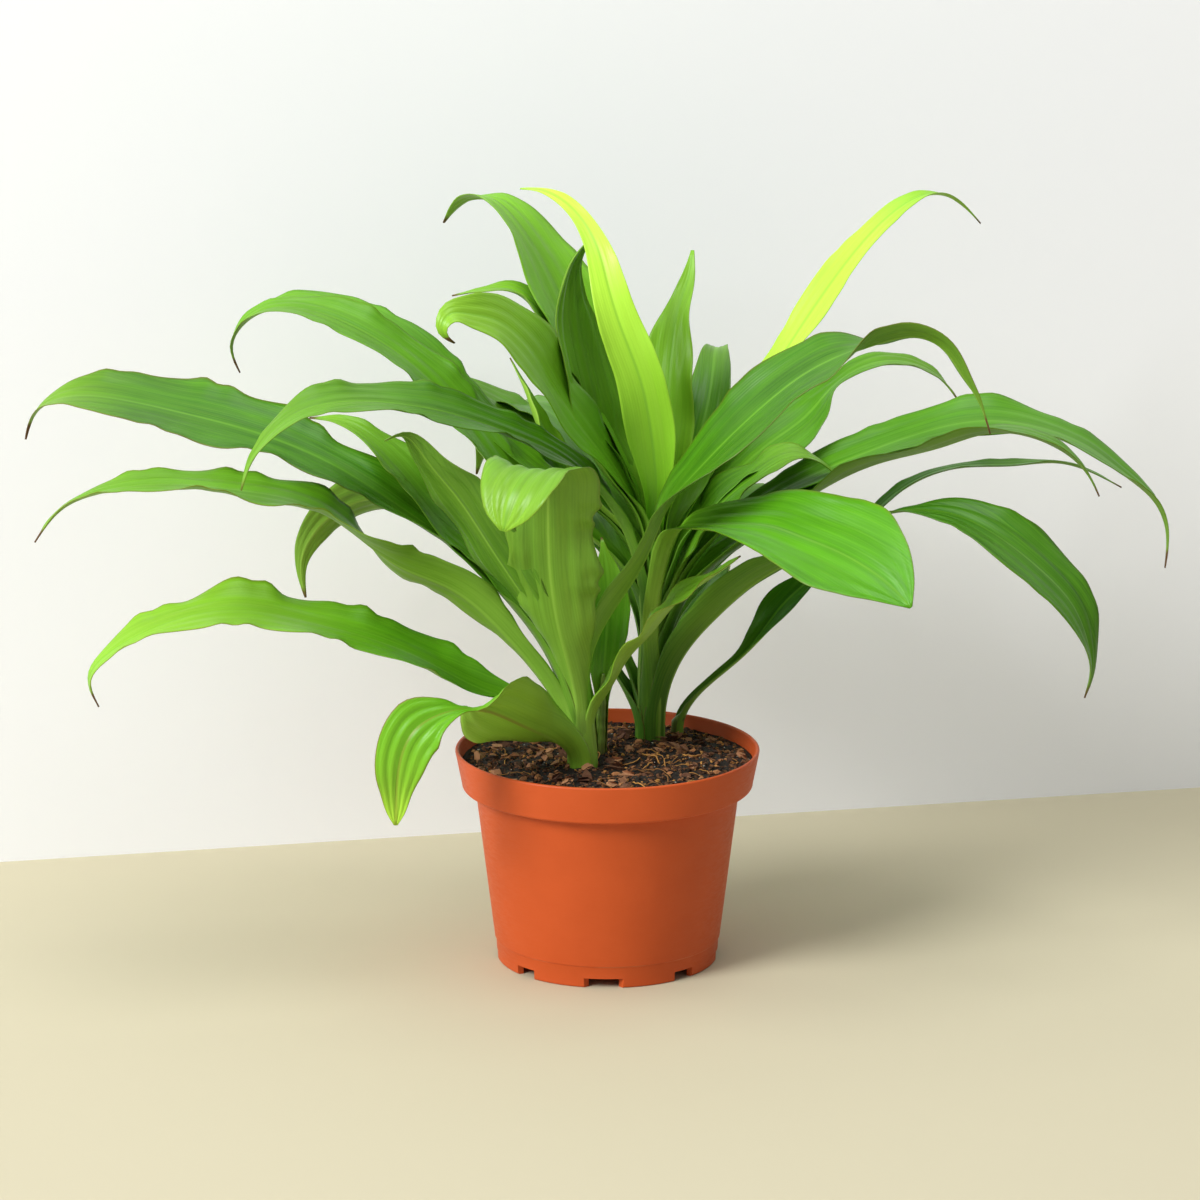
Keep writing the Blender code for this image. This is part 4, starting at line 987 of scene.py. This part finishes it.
def make_crumb_shades():
    """Crumb colour: each crumb's own tone with fine dark pits, and a height for its grain."""
    colour = "NodeSocketColor"
    group, given, out = make_group(
        "crumb_shades",
        (("Dark", colour, (0.01, 0.006, 0.004, 1)), ("Light", colour, (0.2, 0.1, 0.05, 1)),
         ("Grain", "NodeSocketFloat", 900.0)),
        (("Colour", colour), ("Height", "NodeSocketFloat")))
    place = add_node(group, "ShaderNodeTexCoord").outputs["Object"]
    pits = grain(group, place, given["Grain"], 4.0, 0.65)
    tone = calc(group, "ADD", calc(group, "MULTIPLY", read_mark(group, "tone"), 0.7),
                calc(group, "MULTIPLY", pits, 0.6))
    group.links.new(mix_colours(group, ramp_value(group, tone, 0.3, 1.05), given["Dark"],
                                given["Light"]), out["Colour"])
    group.links.new(pits, out["Height"])
    return group


def make_crumb_finish(name, shades, dark, light, size):
    finish, tree, shader = new_finish(name, Roughness=0.9)
    marks = add_node(tree, "ShaderNodeGroup")
    marks.node_tree = shades
    marks.inputs["Dark"].default_value = (*dark, 1)
    marks.inputs["Light"].default_value = (*light, 1)
    marks.inputs["Grain"].default_value = size
    tree.links.new(marks.outputs["Colour"], shader.inputs["Base Color"])
    add_bump(tree, shader, marks.outputs["Height"], 0.8, 0.0008)
    return finish


def make_pot_finish():
    """Moulded plastic: an even orange with a faint mottle, rubbed marks and a little dust low down."""
    finish, tree, shader = new_finish("pot_plastic_moulded", Specular_IOR_Level=0.3)
    place = add_node(tree, "ShaderNodeTexCoord").outputs["Object"]
    mottle = grain(tree, place, 60.0, 3.0)
    rubs = grain(tree, stretched(tree, place, (160, 160, 900)), 1.0, 4.0, 0.7)
    pebbles = grain(tree, place, 1800.0, 2.0)
    colour = mix_colours(tree, ramp_value(tree, mottle, 0.2, 0.8, 0.3, 0.7), POT_DEEP, POT_BRIGHT)
    colour = mix_colours(tree, ramp_value(tree, rubs, 0.66, 0.85, 0.0, 0.1), colour, POT_RUBBED)
    level = add_node(tree, "ShaderNodeSeparateXYZ", {0: place}).outputs[2]
    from_step = calc(tree, "ABSOLUTE", calc(tree, "SUBTRACT", level, (STEP_LEVEL - 0.1) * MM))
    line = calc(tree, "MULTIPLY", ramp_value(tree, from_step, 0.0001, 0.0005, 1.0, 0.0),
                ramp_value(tree, mottle, 0.35, 0.65))
    colour = mix_colours(tree, calc(tree, "MULTIPLY", line, 0.55), colour, POT_RUBBED)
    tree.links.new(colour, shader.inputs["Base Color"])
    tree.links.new(ramp_value(tree, rubs, 0.3, 0.7, 0.42, 0.58), shader.inputs["Roughness"])
    add_bump(tree, shader, calc(tree, "ADD", pebbles, calc(tree, "MULTIPLY", rubs, 0.5)), 0.25, 0.00015)
    return finish


def flat_finish(name, colour, rough):
    finish, tree, shader = new_finish(name, Base_Color=(*colour, 1), Roughness=rough)
    return finish


def add_stage():
    """A pale table and a pale wall behind it that is seen from its front only."""
    table = flat_finish("table_cream", TABLE_COLOUR, 0.75)
    wall = flat_finish("wall_white", WALL_COLOUR, 0.9)
    tree = wall.node_tree
    shader = tree.nodes["Principled BSDF"]
    clear = add_node(tree, "ShaderNodeBsdfTransparent")
    back = add_node(tree, "ShaderNodeNewGeometry").outputs["Backfacing"]
    either = add_node(tree, "ShaderNodeMixShader", {0: back, 1: shader.outputs[0], 2: clear.outputs[0]})
    tree.links.new(either.outputs[0], tree.nodes["Material Output"].inputs["Surface"])
    turn = math.radians(WALL_TURN)
    along = Vector((math.cos(turn), math.sin(turn), 0))
    middle = Vector((*WALL_PLACE, 0))
    left, right = middle - along * WALL_WIDTH / 2, middle + along * WALL_WIDTH / 2
    up = Vector((0, 0, WALL_HEIGHT))
    wall_mesh = make_mesh("backdrop", [p * MM for p in (left, right, right + up, left + up)],
                          [(0, 1, 2, 3)], [wall], smooth=False)
    reach = FLOOR_REACH * MM
    floor_mesh = make_mesh("table_top", [(-reach, -reach, 0), (reach, -reach, 0), (reach, reach, 0),
                                         (-reach, reach, 0)], [(0, 1, 2, 3)], [table], smooth=False)
    for mesh in (wall_mesh, floor_mesh):
        item = bpy.data.objects.new(mesh.name, mesh)
        bpy.context.scene.collection.objects.link(item)


def add_light(name, place, target, size, power, colour=(1, 1, 1)):
    lamp = bpy.data.lights.new(name, "AREA")
    lamp.shape = "DISK"
    lamp.size = size
    lamp.energy = power
    lamp.color = colour
    item = bpy.data.objects.new(name, lamp)
    bpy.context.scene.collection.objects.link(item)
    item.location = place
    item.rotation_euler = (Vector(target) - Vector(place)).to_track_quat("-Z", "Y").to_euler()


def add_studio():
    world = bpy.data.worlds.new("soft_room")
    bpy.context.scene.world = world
    world.use_nodes = True
    sky = world.node_tree.nodes["Background"]
    sky.inputs["Color"].default_value = (0.95, 0.97, 1.0, 1)
    sky.inputs["Strength"].default_value = ROOM_LIGHT
    for lamp in LAMPS:
        add_light(*lamp)
    bpy.context.scene.view_settings.view_transform = "Standard"


def add_camera():
    lens = bpy.data.cameras.new("photo_view")
    lens.sensor_width = SENSOR
    lens.lens = FOCAL_PIXELS / PHOTO_SIZE * SENSOR
    lens.clip_end = 30
    item = bpy.data.objects.new("photo_view", lens)
    bpy.context.scene.collection.objects.link(item)
    item.location = Vector(CAMERA_PLACE) * MM
    item.rotation_euler = (math.radians(90 - CAMERA_PITCH), 0, 0)
    bpy.context.scene.camera = item


def dress_plant():
    markings = make_blade_markings()
    upper = make_leaf_finish("leaf_upper", markings, UPPER_COLOURS, 0.45, 0.3, **LEAF_BODY)
    under = make_leaf_finish("leaf_under", markings, UNDER_COLOURS, 0.6, 0.42, **LEAF_BODY)
    stem = make_stem_finish()
    for shoot, leaves in LEAVES.items():
        add_stem(shoot, stem)
        ranks = sorted(range(len(leaves)), key=lambda k: -leaves[k].route[0][2])
        for number, leaf in enumerate(leaves):
            add_leaf(shoot, number, leaf, (ranks.index(number) + 1) / len(leaves), [upper, under])


def dress_soil():
    shades = make_crumb_shades()
    mix = make_crumb_finish("soil_dark", shades, (0.010, 0.005, 0.002), (0.17, 0.065, 0.022), 420.0)
    bark = make_crumb_finish("bark", shades, (0.035, 0.012, 0.005), (0.42, 0.17, 0.06), 700.0)
    flake = make_crumb_finish("bark_inside", shades, (0.09, 0.03, 0.012), (0.52, 0.24, 0.11), 300.0)
    straw = make_crumb_finish("straw", shades, (0.10, 0.03, 0.008), (0.58, 0.27, 0.06), 500.0)
    chalk = make_crumb_finish("perlite", shades, (0.35, 0.32, 0.27), (0.85, 0.82, 0.75), 900.0)
    add_soil(mix)
    add_crumbs("soil_crumbs", 2600, (0.8, 4.0, 1.4), 0.1, mix, 3)
    add_crumbs("bark_chips", 420, (2.0, 7.0, 3.0), 0.06, bark, 5)
    add_crumbs("bark_flakes", 70, (6.0, 14.0, 8.0), 0.04, flake, 21)
    add_crumbs("straw_bits", 500, (0.8, 4.0, 1.4), 0.15, straw, 8)
    add_crumbs("perlite_specks", 90, (0.6, 2.0, 0.9), 0.2, chalk, 13)
    add_fibres(straw)


def dress_pot():
    add_pot(make_pot_finish())


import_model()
add_camera()
dress_plant()
dress_soil()
dress_pot()
add_stage()
add_studio()
